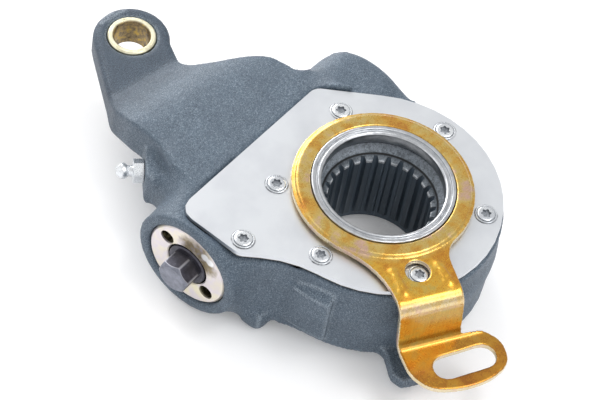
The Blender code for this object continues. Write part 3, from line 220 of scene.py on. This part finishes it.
def yellowZincMaterial(name, zones, drawn, coat):
    # Yellow passivated zinc on pressed sheet. The colour drifts from gold to orange, green and
    # pink: palest on the collar, lighter on the leg as painted light, deepest on the foot as
    # painted shade, with faint drawing lines down the leg and a chalky band where the sheet is bent
    # that is partly pale passivate and partly a painted highlight.
    look = {"driftSize": 20.0, "patchSize": 4.5, "speckSize": 0.35, "lineSize": 0.55,
            "collar": (32.6, 35.5), "leg": (39.0, 42.0), "foot": (21.0, 25.0),
            "bendLow": (38.5, 40.5), "bendHigh": (43.6, 44.6), "bendAway": (46.0, 48.0)}
    material, tree, shader, place = startMaterial(name, 0.85, 0.3)
    drift = grain(tree, place, look["driftSize"], 3.0, 0.6)
    patch = grain(tree, place, look["patchSize"], 5.0, 0.7)
    speck = grain(tree, place, look["speckSize"], 2.0, 0.6)
    lines = grain(tree, stretched(tree, place, (1, 1, 0.06)), look["lineSize"], 2.0, 0.6)
    away, up = aboutAxis(tree, place, (0, 0, 0), 2)
    pattern = mixColour(tree, 0.42, drift, patch)
    # The leg and foot zones are lit and shaded copies: painted light on the leg, painted shade on
    # the foot
    flange, collar, leg, foot = (ramp(tree, pattern, stops) for stops in zones)
    colour = mixColour(tree, blend(tree, away, *look["collar"]), collar, flange)
    colour = mixColour(tree, blend(tree, up, *look["leg"]), leg, colour)
    colour = mixColour(tree, blend(tree, up, *look["foot"]), foot, colour)
    # Band where the sheet is bent: partly chalky passivate, partly painted highlight
    stretch = reckon(tree, "SUBTRACT", blend(tree, up, *look["bendLow"]),
                     blend(tree, up, *look["bendHigh"]))
    stretch = reckon(tree, "MULTIPLY", stretch, blend(tree, away, *look["bendAway"]))
    chalkyBandAndSheen = ramp(tree, patch, [(0.4, "#E2C98C"), (0.5, "#E6D6AE"), (0.58, "#D8BCB0")])
    colour = mixColour(tree, reckon(tree, "MULTIPLY", stretch, 0.75), colour, chalkyBandAndSheen)
    freckle = ramp(tree, speck, [(0.3, "#D8C9AA"), (0.5, "#FFFFFF")])
    colour = mixColour(tree, 0.42, colour, freckle, "MULTIPLY")
    streak = ramp(tree, lines, [(0.36, "#A8824E"), (0.56, "#FFFFFF")])
    colour = mixColour(tree, drawn, colour, streak, "MULTIPLY")
    tree.links.new(colour, shader.inputs["Base Color"])
    tree.links.new(rangeOf(tree, patch, 0.2, 0.38), shader.inputs["Roughness"])
    shader.inputs["Coat Weight"].default_value = coat
    shader.inputs["Coat Roughness"].default_value = 0.16
    bump(tree, shader, lines, 0.015, 0.6)
    return material


def turnedSteelMaterial(name, pale, dark, centre, axis, roughness=0.28, lineSize=0.18):
    # Lathe turned steel: fine rings round its axis
    material, tree, shader, place = startMaterial(name, 1.0, roughness)
    away, along = aboutAxis(tree, place, centre, axis)
    spot = addNode(tree, "ShaderNodeCombineXYZ", links={"X": away, "Y": along})
    rings = grain(tree, spot.outputs["Vector"], lineSize, 2.0)
    cloud = grain(tree, place, 3.0, 4.0, 0.7)
    colour = mixColour(tree, 0.5, ramp(tree, rings, [(0.3, dark), (0.62, pale)]),
                       ramp(tree, cloud, [(0.3, dark), (0.62, pale)]))
    tree.links.new(colour, shader.inputs["Base Color"])
    bump(tree, shader, rings, 0.03, 0.6)
    return material


def wheelSteelMaterial():
    # Broached wheel: a rough grey cone at the mouth, a neck groove darkened as painted shade,
    # painted highlights on the tooth chamfers and dark flanks, painted lighter towards their roots
    # to even out their shade, with faint broaching lines added as a light sheen
    look = {"coneStart": 14.1, "landRadius": 19.5, "rootRadius": 21.0, "bandSpan": (19, 25)}
    material, tree, shader, place = startMaterial("broached wheel steel", 0.35, 0.5)
    away, along = aboutAxis(tree, place, (0, 0, 0), 2)
    sand = grain(tree, place, 0.5, 3.0, 0.7)
    worn = grain(tree, place, 1.6, 3.0, 0.6)
    lines = grain(tree, stretched(tree, place, (1, 1, 0.03)), 0.8, 2.0, 0.6)
    share = blend(tree, away, *look["bandSpan"])
    # Painted highlight on the tooth chamfers at the smallest radius, painted shade in the near
    # black neck groove
    coneBandsLitShaded = ramp(tree, share, [(0.0, "#DADEE1"), (0.07, "#D2D6DA"), (0.12, "#8B9299"),
                               (0.3, "#6E767D"), (0.37, "#565D64"), (0.39, "#14171A"),
                               (0.46, "#14171A"), (0.5, "#8B939B"), (0.9, "#8A9199")])
    gritty = ramp(tree, sand, [(0.32, "#8E949A"), (0.6, "#FFFFFF")])
    coneBandsLitShaded = mixColour(tree, 0.8, coneBandsLitShaded, gritty, "MULTIPLY")
    scuffed = ramp(tree, worn, [(0.38, "#6A7076"), (0.55, "#FFFFFF")])
    coneBandsLitShaded = mixColour(tree, 0.5, coneBandsLitShaded, scuffed, "MULTIPLY")
    # Painted light: flanks lighter towards the roots and darker on the lands, evening out their
    # shade
    flankWithPaintedLight = ramp(tree, blend(tree, away, look["landRadius"], look["rootRadius"]),
                 [(0.0, "#47535E"), (1.0, "#5D6B78")])
    shine = ramp(tree, lines, [(0.6, "#000000"), (0.74, "#6E7880")])
    flankWithPaintedLight = mixColour(tree, 0.7, flankWithPaintedLight, shine, "ADD")
    slant = reckon(tree, "SUBTRACT", along, away)
    onCone = rangeOf(tree, slant, 0.0, 1.0, (look["coneStart"] - 0.2) * mm,
                     look["coneStart"] * mm)
    tree.links.new(mixColour(tree, onCone, flankWithPaintedLight, coneBandsLitShaded), shader.inputs["Base Color"])
    bump(tree, shader, sand, 0.06, 0.5)
    return material


def darkSteelMaterial():
    # Hardened steel with a thin blue-black oxide, scuffed paler in patches. The nose is ground.
    # Every arris of the hexagon and the nose edge are pale: partly worn bright, partly painted
    # highlight.
    look = {"endX": -71.0, "noseRadius": 5.53, "noseSlope": 0.867, "corner": (6.6, 6.85),
            "hexagonEnd": -63.9}
    material, tree, shader, place = startMaterial("oxide blacked steel", 0.7, 0.38)
    scuff = grain(tree, place, 2.6, 5.0, 0.65)
    fine = grain(tree, place, 0.4, 2.0)
    away, along = aboutAxis(tree, place, (0, wormAxis.y, wormAxis.z), 0)
    colour = ramp(tree, scuff, [(0.3, "#3D3C43"), (0.55, "#4C4B54"), (0.75, "#67666F")])
    cone = reckon(tree, "MAXIMUM", reckon(tree, "SUBTRACT", away, look["noseRadius"] * mm), 0.0)
    cone = reckon(tree, "MULTIPLY", cone, -look["noseSlope"])
    behind = reckon(tree, "ADD", reckon(tree, "SUBTRACT", along, look["endX"] * mm), cone)
    paleEnd = ramp(tree, scuff, [(0.3, "#686B76"), (0.7, "#8A8D99")])
    colour = mixColour(tree, blend(tree, behind, 0.12, 0.22), paleEnd, colour)
    nose = reckon(tree, "SUBTRACT", blend(tree, behind, 0.05, 0.15), blend(tree, behind, 0.3, 0.5))
    hexagon = rangeOf(tree, along, 1.0, 0.0, (look["hexagonEnd"] - 0.4) * mm,
                      look["hexagonEnd"] * mm)
    # Pale arrises: partly wear, partly painted highlight
    arrisWearAndHighlight = reckon(tree, "MULTIPLY", blend(tree, away, *look["corner"]), hexagon)
    bright = reckon(tree, "MAXIMUM", arrisWearAndHighlight, reckon(tree, "MULTIPLY", nose, hexagon))
    colour = mixColour(tree, reckon(tree, "MULTIPLY", bright, 0.75), colour, srgb("#B4B4BC"))
    tree.links.new(colour, shader.inputs["Base Color"])
    tree.links.new(rangeOf(tree, fine, 0.3, 0.45), shader.inputs["Roughness"])
    bump(tree, shader, fine, 0.03, 0.5)
    return material


def creamZincMaterial():
    # Zinc with a pale cream and pink passivate. Beside the hexagon a brown patch is a painted
    # reflection and one bright spot a painted glint; the spanner holes are darkened as painted
    # shade.
    look = {"reflections": [(-62.5, 38.5, 32.3), (-62.5, 33.6, 32.8), (-62.5, 29.8, 27.6)],
            "reflectionSize": (2.2, 5.6), "glintSpots": [(-62.5, 31.0, 31.9), (-62.5, 28.6, 31.1)],
            "glintSize": (1.4, 2.1), "holeDepth": -62.1}
    material, tree, shader, place = startMaterial("cream passivated zinc", 0.6, 0.36)
    cloud = grain(tree, place, 8.0, 3.0)
    fine = grain(tree, place, 0.5, 2.0)
    mottle = grain(tree, place, 2.0, 3.0, 0.6)
    base = ramp(tree, cloud, [(0.32, "#E2DACB"), (0.5, "#DED6DA"), (0.68, "#EBE3C8")])
    inner, outer = look["reflectionSize"]
    reflection = None
    # Painted reflection: a brown patch beside the hexagon
    for spot in look["reflections"]:
        here = nearSpot(tree, place, spot, inner + 2.0, outer + 2.0, mottle, 4.0)
        reflection = here if reflection is None else reckon(tree, "MAXIMUM", reflection, here)
    brown = ramp(tree, mottle, [(0.34, "#6B5A34"), (0.5, "#8C7A4C"), (0.66, "#8B8690")])
    colour = mixColour(tree, reckon(tree, "MULTIPLY", reflection, 0.85), base, brown)
    inner, outer = look["glintSize"]
    # Painted glint: bright white spots
    for spot in look["glintSpots"]:
        here = nearSpot(tree, place, spot, inner + 0.5, outer + 0.5, mottle, 1.0)
        colour = mixColour(tree, here, colour, srgb("#FFFFFF"))
    away, along = aboutAxis(tree, place, (0, wormAxis.y, wormAxis.z), 0)
    # Painted shade: dark down in the spanner holes
    sunk = blend(tree, along, look["holeDepth"], look["holeDepth"] + 0.5)
    holeShade = ramp(tree, mottle, [(0.36, "#1E1A18"), (0.52, "#4A4433"), (0.66, "#8A8362")])
    colour = mixColour(tree, sunk, colour, holeShade)
    tree.links.new(colour, shader.inputs["Base Color"])
    tree.links.new(rangeOf(tree, fine, 0.3, 0.45), shader.inputs["Roughness"])
    bump(tree, shader, fine, 0.02, 0.5)
    return material


def bronzeMaterial():
    # Bearing bronze, bored: pale brassy faces, brown and golden in the bore
    look = {"centre": (0, 120.0, 23.4), "boreWall": (7.15, 7.6)}
    material, tree, shader, place = startMaterial("bearing bronze", 0.85, 0.34)
    away, along = aboutAxis(tree, place, [c * mm for c in look["centre"]], 2)
    inner, outer = look["boreWall"]
    bore = rangeOf(tree, away, 1.0, 0.0, inner * mm, outer * mm)
    streak = grain(tree, place, 1.8, 4.0, 0.6)
    pale = ramp(tree, streak, [(0.3, "#DDD6B4"), (0.7, "#EEEAD2")])
    brown = ramp(tree, streak, [(0.3, "#5E503A"), (0.5, "#8E7C5E"), (0.66, "#C2A352")])
    tree.links.new(mixColour(tree, bore, pale, brown), shader.inputs["Base Color"])
    tree.links.new(rangeOf(tree, streak, 0.26, 0.44), shader.inputs["Roughness"])
    bump(tree, shader, streak, 0.05, 0.5)
    return material


def plainMaterial(name, low, high, metallic, roughness, size, depth):
    # Pieces that show little: rubber, fibre sheet, wire and bearing parts
    material, tree, shader, place = startMaterial(name, metallic, roughness)
    mottle = grain(tree, place, size, 3.0)
    tree.links.new(ramp(tree, mottle, [(0.3, low), (0.7, high)]), shader.inputs["Base Color"])
    tree.links.new(rangeOf(tree, mottle, roughness - 0.08, roughness + 0.08),
                   shader.inputs["Roughness"])
    bump(tree, shader, mottle, depth, 0.5)
    return material


castIron = castIronMaterial()
screwSpots = []
for number in range(1, 8):
    low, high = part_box(f"cover_screw_{number}")
    screwSpots.append([(low[i] + high[i]) / 2 / mm for i in range(2)] + [0])
brightZinc = brightZincMaterial("bright zinc plate", "#DCDFE3", "#D2D5DA", 0.34, screwSpots)
goldStops = [(0.34, "#BE7A20"), (0.44, "#CC8F28"), (0.52, "#D6A636"), (0.6, "#BFA854"),
             (0.68, "#CF9E62")]
collarStops = [(0.34, "#C07E2E"), (0.44, "#CDA044"), (0.52, "#C9B066"), (0.6, "#C6A496"),
               (0.68, "#C4B460")]
# Leg colours are lighter and foot colours darker than the rest: painted light and shade
legStopsLit = [(0.34, "#BA8A20"), (0.44, "#C4982C"), (0.52, "#CAA43C"), (0.6, "#BDAE58"),
            (0.68, "#C6A258")]
footStopsShaded = [(0.34, "#A8681A"), (0.44, "#B67C20"), (0.52, "#BE8A28"), (0.6, "#B28C3C"),
             (0.68, "#B87A2A")]
paleStops = [(0.34, "#DCC695"), (0.5, "#E4D6B4"), (0.6, "#DCBAA8"), (0.7, "#E2CF96")]
yellowZinc = yellowZincMaterial("yellow passivated zinc",
                                (goldStops, collarStops, legStopsLit, footStopsShaded), 0.2, 0.5)
shearedZinc = yellowZincMaterial("sheared edge, pale passivate", (paleStops,) * 4, 0.1, 0.3)
shinyZinc = brightZincMaterial("polished zinc plate", "#E2E5E8", "#BEC2C8", 0.28)
# Dark zinc for painted shade in the screw recesses and grooves
recessShadeZinc = plainMaterial("zinc recess, painted shade", "#6E7379", "#B4B8BE", 0.6, 0.45, 0.9, 0.03)
discSteel = turnedSteelMaterial("turned steel ring", "#D3D5D8", "#92969B", (0, 0, 0), 2)
wheelSteel = wheelSteelMaterial()
bearingSteel = turnedSteelMaterial("bearing steel", "#B9BBBE", "#808387", wormAxis, 0, 0.25)
darkSteel = darkSteelMaterial()
creamZinc = creamZincMaterial()
bronze = bronzeMaterial()
sealRubber = plainMaterial("nitrile seal rubber", "#121212", "#1E1E1F", 0.0, 0.6, 1.5, 0.03)
gasketFibre = plainMaterial("gasket fibre sheet", "#3A332B", "#4C443A", 0.0, 0.85, 0.8, 0.05)
springWire = plainMaterial("drawn spring wire", "#4E5053", "#6C6F73", 0.9, 0.35, 1.2, 0.02)
print("materials made")


# Shape helpers
def fromNode(name):
    shape = bmesh.new()
    shape.from_mesh(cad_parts[name].data)
    bmesh.ops.remove_doubles(shape, verts=shape.verts, dist=0.01 * mm)
    return shape


def toPiece(shape, name, material, body, nodes, sharpAngle=35, extras=()):
    mesh = bpy.data.meshes.new(name)
    shape.to_mesh(mesh)
    shape.free()
    mesh.materials.append(material)
    for extra in extras:
        mesh.materials.append(extra)
    piece = bpy.data.objects.new(name, mesh)
    bpy.context.scene.collection.objects.link(piece)
    mesh.shade_smooth()
    mesh.set_sharp_from_angle(angle=math.radians(sharpAngle))
    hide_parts(*nodes)
    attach(piece, body)
    return piece


def roundEdges(piece, width, angle=30, segments=2):
    edge = piece.modifiers.new("edge", "BEVEL")
    edge.width = width * mm
    edge.segments = segments
    edge.limit_method = "ANGLE"
    edge.angle_limit = math.radians(angle)
    edge.harden_normals = True
    return piece


def evaluatedShape(holder):
    graph = bpy.context.evaluated_depsgraph_get()
    mesh = bpy.data.meshes.new_from_object(holder.evaluated_get(graph), depsgraph=graph)
    shape = bmesh.new()
    shape.from_mesh(mesh)
    bpy.data.meshes.remove(mesh)
    return shape


def through(shape, kind, **settings):
    # Sends a shape through one modifier
    mesh = bpy.data.meshes.new("working")
    shape.to_mesh(mesh)
    shape.free()
    holder = bpy.data.objects.new("working", mesh)
    bpy.context.scene.collection.objects.link(holder)
    modifier = holder.modifiers.new("working", kind)
    for key, value in settings.items():
        setattr(modifier, key, value)
    result = evaluatedShape(holder)
    bpy.data.objects.remove(holder, do_unlink=True)
    return result


def combine(shape, other, operation):
    mesh = bpy.data.meshes.new("cutter")
    other.to_mesh(mesh)
    other.free()
    cutter = bpy.data.objects.new("cutter", mesh)
    bpy.context.scene.collection.objects.link(cutter)
    result = through(shape, "BOOLEAN", object=cutter, operation=operation, solver="EXACT")
    bpy.data.objects.remove(cutter, do_unlink=True)
    return result


def spun(profile, steps=160):
    # Turns a closed profile of (radius, height) about Z
    shape = bmesh.new()
    verts = [shape.verts.new((r * mm, 0, z * mm)) for r, z in profile]
    edges = [shape.edges.new((verts[i - 1], verts[i])) for i in range(len(verts))]
    bmesh.ops.spin(shape, geom=verts + edges, axis=(0, 0, 1), cent=(0, 0, 0), angle=fullTurn,
                   steps=steps, use_merge=True, use_duplicate=False)
    bmesh.ops.remove_doubles(shape, verts=shape.verts, dist=0.001 * mm)
    bmesh.ops.dissolve_degenerate(shape, edges=shape.edges, dist=0.0005 * mm)
    bmesh.ops.recalc_face_normals(shape, faces=shape.faces)
    return shape


def rod(radius, low, high, sides=48):
    shape = bmesh.new()
    bmesh.ops.create_cone(shape, cap_ends=True, segments=sides, radius1=radius * mm,
                          radius2=radius * mm, depth=(high - low) * mm)
    bmesh.ops.translate(shape, verts=shape.verts, vec=(0, 0, (high + low) / 2 * mm))
    return shape


def rubDown(shape, verts, rounds):
    for _ in range(rounds):
        bmesh.ops.smooth_vert(shape, verts=verts, factor=0.5, use_axis_x=True, use_axis_y=True,
                              use_axis_z=True)


# Housing: the solid is remeshed and rubbed down, so that its edges and corners run together
# like a casting's. Where the moulded forms flow into each other it is rubbed down further: the
# bearing end, the brow above the eye, the far shoulder and the lump under the corner.
housing = {"voxel": 0.85, "rounds": 2, "slot": "painted_cast_iron",
           "boss": (-62.0, -44.0, 19.2, 31.0, 90), "brow": (60.0, 97.0, 27.0, 140),
           "skew": math.radians(10), "shoulder": (0.766, 0.643, 48.3, 20.0, 62.0, 50),
           "lump": (-50.5, 12.0, 0.0, 9.0, 8.0, 14), "sharp": 34, "padSharp": 22,
           "pad": (-56.0, -36.0, -22.0, 8.0, -0.5), "edgeWearSheen": (0.35, 1.15), "edgeWearSheenTop": 36.0,
           "rackReach": (2.0, 9.5, 3.0), "rackEase": 0.7, "rackEnd": (2.0, 1.2)}


def regionOf(vert):
    # Which softly cast region a spot of the housing belongs to
    x, y, z = vert.co / mm
    low, high, inner, outer, _ = housing["boss"]
    if low < x < high and inner < math.hypot(y - wormAxis.y / mm, z - wormAxis.z / mm) < outer:
        return "boss"
    along = y * math.cos(housing["skew"]) + x * math.sin(housing["skew"])
    near, far, low, _ = housing["brow"]
    if near < along < far and z > low and vert.normal.z > 0.6:
        return "brow"
    a, b, edge, low, end, _ = housing["shoulder"]
    if a * x + b * y > edge and z > low and y < end:
        return "shoulder"
    *spot, reach, top, _ = housing["lump"]
    if (vert.co / mm - Vector(spot)).length < reach and z < top:
        return "lump"
    return None


solid = fromNode("housing")
solid.normal_update()
edgeSpots = []
left, right, low, high, padStart = housing["pad"]
for edge in solid.edges:
    middle = (edge.verts[0].co + edge.verts[1].co) / 2 / mm
    onPad = left < middle.x < right and low < middle.y < high
    sharp = math.radians(housing["padSharp"] if onPad else housing["sharp"])
    turn = edge.calc_face_angle_signed(0)
    kept = middle.x > left and middle.z < housing["edgeWearSheenTop"] and not (onPad and middle.y > padStart)
    if kept and (abs(turn) if onPad else turn) > sharp:
        steps = max(1, int(edge.calc_length() / (0.5 * mm)))
        edgeSpots += [edge.verts[0].co.lerp(edge.verts[1].co, i / steps) for i in range(steps + 1)]
edgeTree = KDTree(len(edgeSpots))
for i, spot in enumerate(edgeSpots):
    edgeTree.insert(spot, i)
edgeTree.balance()
shape = through(solid, "REMESH", mode="VOXEL", voxel_size=housing["voxel"] * mm)
edgeWearSheenLayer = shape.verts.layers.float.new("edgeWearSheen")
shape.normal_update()
regions = {vert: regionOf(vert) for vert in shape.verts}
# Spots near sharp edges get a pale edge value: partly wear, partly painted highlight
near, far = housing["edgeWearSheen"]
for vert in shape.verts:
    if regions[vert] in (None, "lump"):
        gap = edgeTree.find(vert.co)[2] / mm
        vert[edgeWearSheenLayer] = min(1.0, max(0.0, (far - gap) / (far - near)))
rubDown(shape, shape.verts, housing["rounds"])
shape.normal_update()
low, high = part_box("rack")
rackMiddle = (Vector(low) + Vector(high)) / 2
reach = housing["rackReach"]
for vert in shape.verts:  # the closed-in pocket keeps the rack's clearance
    inPocket = all(low[i] - reach[i] * mm < vert.co[i] < high[i] + reach[i] * mm for i in range(3))
    if inPocket and vert.normal.dot(rackMiddle - vert.co) > 0:
        vert.co -= vert.normal * housing["rackEase"] * mm
        regions[vert] = None
        if vert.co.y < low[1] - housing["rackEnd"][0] * mm:
            vert.co.y -= housing["rackEnd"][1] * mm
for region in ("boss", "brow", "shoulder", "lump"):
    chosen = [vert for vert in shape.verts if regions[vert] == region]
    rubDown(shape, chosen, housing[region][-1])
castHousing = toPiece(shape, "cast_housing", castIron, "housing_group",
                      ["housing"], 180)
print("housing made,", len(castHousing.data.polygons), "faces")

# Cover plate: sheet with a softly rolled edge
plate = {"edge": 0.7, "slot": "bright_zinc"}
shape = fromNode("cover_plate")
bmesh.ops.dissolve_limit(shape, angle_limit=math.radians(1), verts=shape.verts,
                         edges=shape.edges)
coverSheet = toPiece(shape, "cover_sheet", brightZinc, "housing_group",
                     ["cover_plate"])
roundEdges(coverSheet, plate["edge"], 50, 4)

# Cover screws: low round heads on a washer face, with a six-lobe recess
screw = {"high": 42.3, "faceHigh": 41.92, "low": 41.65, "faceRadius": 4.1, "headRadius": 3.25,
         "grooveRadius": 3.55, "shankRadius": 2.3, "tip": 33.4, "recessRadius": 2.0,
         "lobeDepth": 0.26, "recessDepth": 1.0, "turns": [12, 40, 75, 5, 58, 31, 66]}
for number in range(1, 8):
    x, y, _ = screwSpots[number - 1]
    high = screw["high"]
    groove = screw["faceHigh"] - 0.2
    shape = spun([(0, high - 0.12), (1.9, high - 0.02), (2.5, high), (2.95, high - 0.06),
                  (screw["headRadius"], high - 0.2), (screw["headRadius"] + 0.08, groove),
                  (screw["grooveRadius"], groove), (screw["grooveRadius"] + 0.05, groove + 0.16),
                  (3.95, screw["faceHigh"]), (screw["faceRadius"], screw["faceHigh"] - 0.1),
                  (screw["faceRadius"], screw["low"]), (screw["shankRadius"], screw["low"]),
                  (screw["shankRadius"], 34.0), (1.8, screw["tip"]), (0, screw["tip"])], 72)
    recess = rod(screw["recessRadius"], high - screw["recessDepth"], high + 1, 60)
    for vert in recess.verts:
        angle = math.atan2(vert.co.y, vert.co.x)
        lobe = 1 - screw["lobeDepth"] * (1 - math.cos(6 * angle)) / 2
        vert.co.x *= lobe
        vert.co.y *= lobe
    shape = combine(shape, recess, "DIFFERENCE")
    # Painted shade: the recess and the groove round the head take the dark zinc
    for face in shape.faces:
        spot = face.calc_center_median()
        away = math.hypot(spot.x, spot.y) / mm
        sunk = spot.z / mm < high - 0.15 and away < screw["recessRadius"] + 0.02
        inGroove = screw["headRadius"] - 0.02 < away < screw["grooveRadius"] + 0.02
        if spot.z / mm > screw["low"] - 1.2 and (sunk or inGroove and spot.z / mm > groove - 0.05):
            face.material_index = 1
    bmesh.ops.rotate(shape, verts=shape.verts, cent=(0, 0, 0),
                     matrix=Matrix.Rotation(math.radians(screw["turns"][number - 1]), 3, "Z"))
    bmesh.ops.translate(shape, verts=shape.verts, vec=(x * mm, y * mm, 0))
    toPiece(shape, f"lobe_screw_{number}", shinyZinc, "housing_group",
            [f"cover_screw_{number}"], 30, [recessShadeZinc])
print("cover made")

# Control arm: pressed sheet, remeshed finely. The sheared edges of the sheet are paler.
pressed = {"voxel": 0.4, "rounds": 2, "slot": "yellow_zinc", "turn": math.radians(-121),
           "flangeLow": 42.4, "footHigh": 21.4, "collarRadius": 33.4, "hole": (39.1, -2.15),
           "holeRim": 6.2, "ribZone": (42, 33, 52), "ribRounds": 1,
           "ribs": [(42.2, 6.6, 9, 11.5), (41.5, -10.6, 5, 13.0)], "endReach": 3.2,
           "endRounds": 36, "bend": (48.9, 39.0), "flangeHigh": 44.7}
shape = through(fromNode("control_arm"), "REMESH", mode="VOXEL",
                voxel_size=pressed["voxel"] * mm)
rubDown(shape, shape.verts, pressed["rounds"])
shape.normal_update()
outward = Vector((math.cos(pressed["turn"]), math.sin(pressed["turn"]), 0))
across = Vector((-math.sin(pressed["turn"]), math.cos(pressed["turn"]), 0))
ribEnds = []
for u, t, tilt, length in pressed["ribs"]:
    for way in (-1, 1):
        half = way * (length / 2 - 0.8)
        tilted = math.radians(tilt)
        ribEnds.append((u + half * math.cos(tilted), t + half * math.sin(tilted)))
ribbed = []
tips = []
for vert in shape.verts:
    u, t = vert.co.dot(outward) / mm, vert.co.dot(across) / mm
    fromHole = math.hypot(u - pressed["hole"][0], t - pressed["hole"][1])
    low, near, far = pressed["ribZone"]
    onTop = vert.normal.z > 0.3 and vert.co.z / mm > low
    if onTop and near < u < far and fromHole > pressed["holeRim"]:
        ribbed.append(vert)
        if min(math.hypot(u - a, t - b) for a, b in ribEnds) < pressed["endReach"]:
            tips.append(vert)
rubDown(shape, ribbed, pressed["ribRounds"])
rubDown(shape, tips, pressed["endRounds"])
shape.normal_update()
for face in shape.faces:
    spot = face.calc_center_median() / mm
    level = spot.z > pressed["flangeLow"] or spot.z < pressed["footHigh"]
    upright = abs(face.normal.z) < 0.8
    outside = math.hypot(spot.x, spot.y) > pressed["collarRadius"]
    bent = spot.dot(outward) > pressed["bend"][0] and spot.z > pressed["bend"][1]
    sideways = abs(face.normal.dot(across)) > 0.75
    sheared = sideways or level and upright and not bent
    if outside and spot.z < pressed["flangeHigh"] and sheared:
        face.material_index = 1
pressedArm = toPiece(shape, "pressed_control_arm", yellowZinc, "control_group",
                     ["control_arm"], 180, [shearedZinc])
print("control arm made,", len(pressedArm.data.polygons), "faces")

# Control disc: turned ring with a groove in its face
shape = fromNode("control_disc")
turnedRing = toPiece(shape, "turned_control_disc", discSteel, "control_group",
                     ["control_disc"])
roundEdges(turnedRing, 0.15, 40, 2)

# Worm wheel, worm shaft, bearing cap, bush and nipple keep their solids' forms with broken edges
dressed = [
    ("worm_wheel", "splined_worm_wheel", wheelSteel, "dark_steel", "wheel_group", 0.12, 28),
    ("worm_shaft", "hexagon_worm_shaft", darkSteel, "dark_steel", "worm_group", 0.16, 30),
    ("bearing_cap", "spanner_bearing_cap", creamZinc, "cream_zinc", "housing_group", 0.15, 40),
    ("clevis_bush", "bronze_bush", bronze, "bronze", "housing_group", 0.1, 40),
    ("grease_nipple", "hexagon_nipple", shinyZinc, "bright_zinc", "housing_group", 0.15, 40)]
for node, name, material, slot, body, edge, angle in dressed:
    shape = fromNode(node)
    bmesh.ops.dissolve_limit(shape, angle_limit=math.radians(1), verts=shape.verts,
                             edges=shape.edges)
    roundEdges(toPiece(shape, name, material, body, [node]), edge, angle, 2)
print("turned pieces made")

# Pieces that are closed in keep their solids and get their finish
inner = {"cover_gasket": gasketFibre, "rear_seal": sealRubber, "collar_seal": sealRubber,
         "shaft_seal": sealRubber, "cap_bearing": bearingSteel, "clutch_wheel": darkSteel,
         "clutch_spring": springWire, "clutch_pinion": darkSteel, "rack": darkSteel,
         "thrust_washer_front": bearingSteel, "roller_cage": bearingSteel,
         "spring_seat": bearingSteel, "main_spring": springWire, "spring_plug": darkSteel,
         "worm_bush": bronze}
for node, material in inner.items():
    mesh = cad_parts[node].data
    mesh.materials.clear()
    mesh.materials.append(material)
print("inner pieces finished")

# Floor, light and camera
studio = {"floorLow": -2.3, "floorSize": 8.0, "floorColour": "#F4F4F5", "world": 0.74, "glow": 0.12,
          "camera": (-0.49788, -0.24486, 0.73832), "turn": (37.2549, -7.36325, -51.2914),
          "lens": 146.4, "aim": (0, 0.03, 0.02)}
shape = bmesh.new()
bmesh.ops.create_grid(shape, x_segments=1, y_segments=1, size=studio["floorSize"] / 2)
bmesh.ops.translate(shape, verts=shape.verts, vec=(0, 0, studio["floorLow"] * mm))
floorMesh = bpy.data.meshes.new("studio_floor")
shape.to_mesh(floorMesh)
shape.free()
floor = bpy.data.objects.new("studio_floor", floorMesh)
bpy.context.scene.collection.objects.link(floor)
floorMaterial = bpy.data.materials.new("matt white paper")
floorMaterial.use_nodes = True
tree = floorMaterial.node_tree
paper = tree.nodes["Principled BSDF"]
paper.inputs["Base Color"].default_value = srgb(studio["floorColour"])
paper.inputs["Roughness"].default_value = 0.9
rays = addNode(tree, "ShaderNodeLightPath")
seen = reckon(tree, "ADD", rays.outputs["Is Camera Ray"], rays.outputs["Is Glossy Ray"])
seen = reckon(tree, "ADD", seen, rays.outputs["Is Transmission Ray"])
glow = addNode(tree, "ShaderNodeEmission",
               links={"Strength": reckon(tree, "MULTIPLY", seen, studio["glow"])})
total = addNode(tree, "ShaderNodeAddShader", links={0: paper.outputs["BSDF"],
                                                    1: glow.outputs["Emission"]})
tree.links.new(total.outputs["Shader"], tree.nodes["Material Output"].inputs["Surface"])
floorMesh.materials.append(floorMaterial)

world = bpy.data.worlds.new("studio")
bpy.context.scene.world = world
world.use_nodes = True
world.node_tree.nodes["Background"].inputs["Color"].default_value = srgb("#FFFFFF")
world.node_tree.nodes["Background"].inputs["Strength"].default_value = studio["world"]

lamps = [("far softbox", (0.6, 1.1, 0.45), 0.7, 9.5),
         ("back softbox", (0.3, 1.1, 0.9), 0.9, 5.0),
         ("top softbox", (0.26, -0.28, 1.1), 0.36, 3.2),
         ("right softbox", (0.0, -0.8, 1.0), 0.6, 2.4),
         ("left softbox", (-0.9, 0.9, 0.7), 0.9, 2.0),
         ("front softbox", (-1.0, -0.7, 0.45), 0.9, 1.6)]
for name, place, size, power in lamps:
    light = bpy.data.lights.new(name, "AREA")
    light.size = size
    light.energy = power
    lamp = bpy.data.objects.new(name, light)
    lamp.location = place
    aim = Vector(studio["aim"]) - Vector(place)
    lamp.rotation_euler = aim.to_track_quat("-Z", "Y").to_euler()
    bpy.context.scene.collection.objects.link(lamp)

lens = bpy.data.cameras.new("photograph view")
lens.lens = studio["lens"]
lens.sensor_width = 36
lens.sensor_fit = "HORIZONTAL"
lens.clip_start = 0.05
lens.clip_end = 20
camera = bpy.data.objects.new("photograph_view", lens)
camera.location = studio["camera"]
camera.rotation_euler = [math.radians(a) for a in studio["turn"]]
bpy.context.scene.collection.objects.link(camera)
bpy.context.scene.camera = camera
bpy.context.scene.view_settings.view_transform = "Standard"
print("studio made")
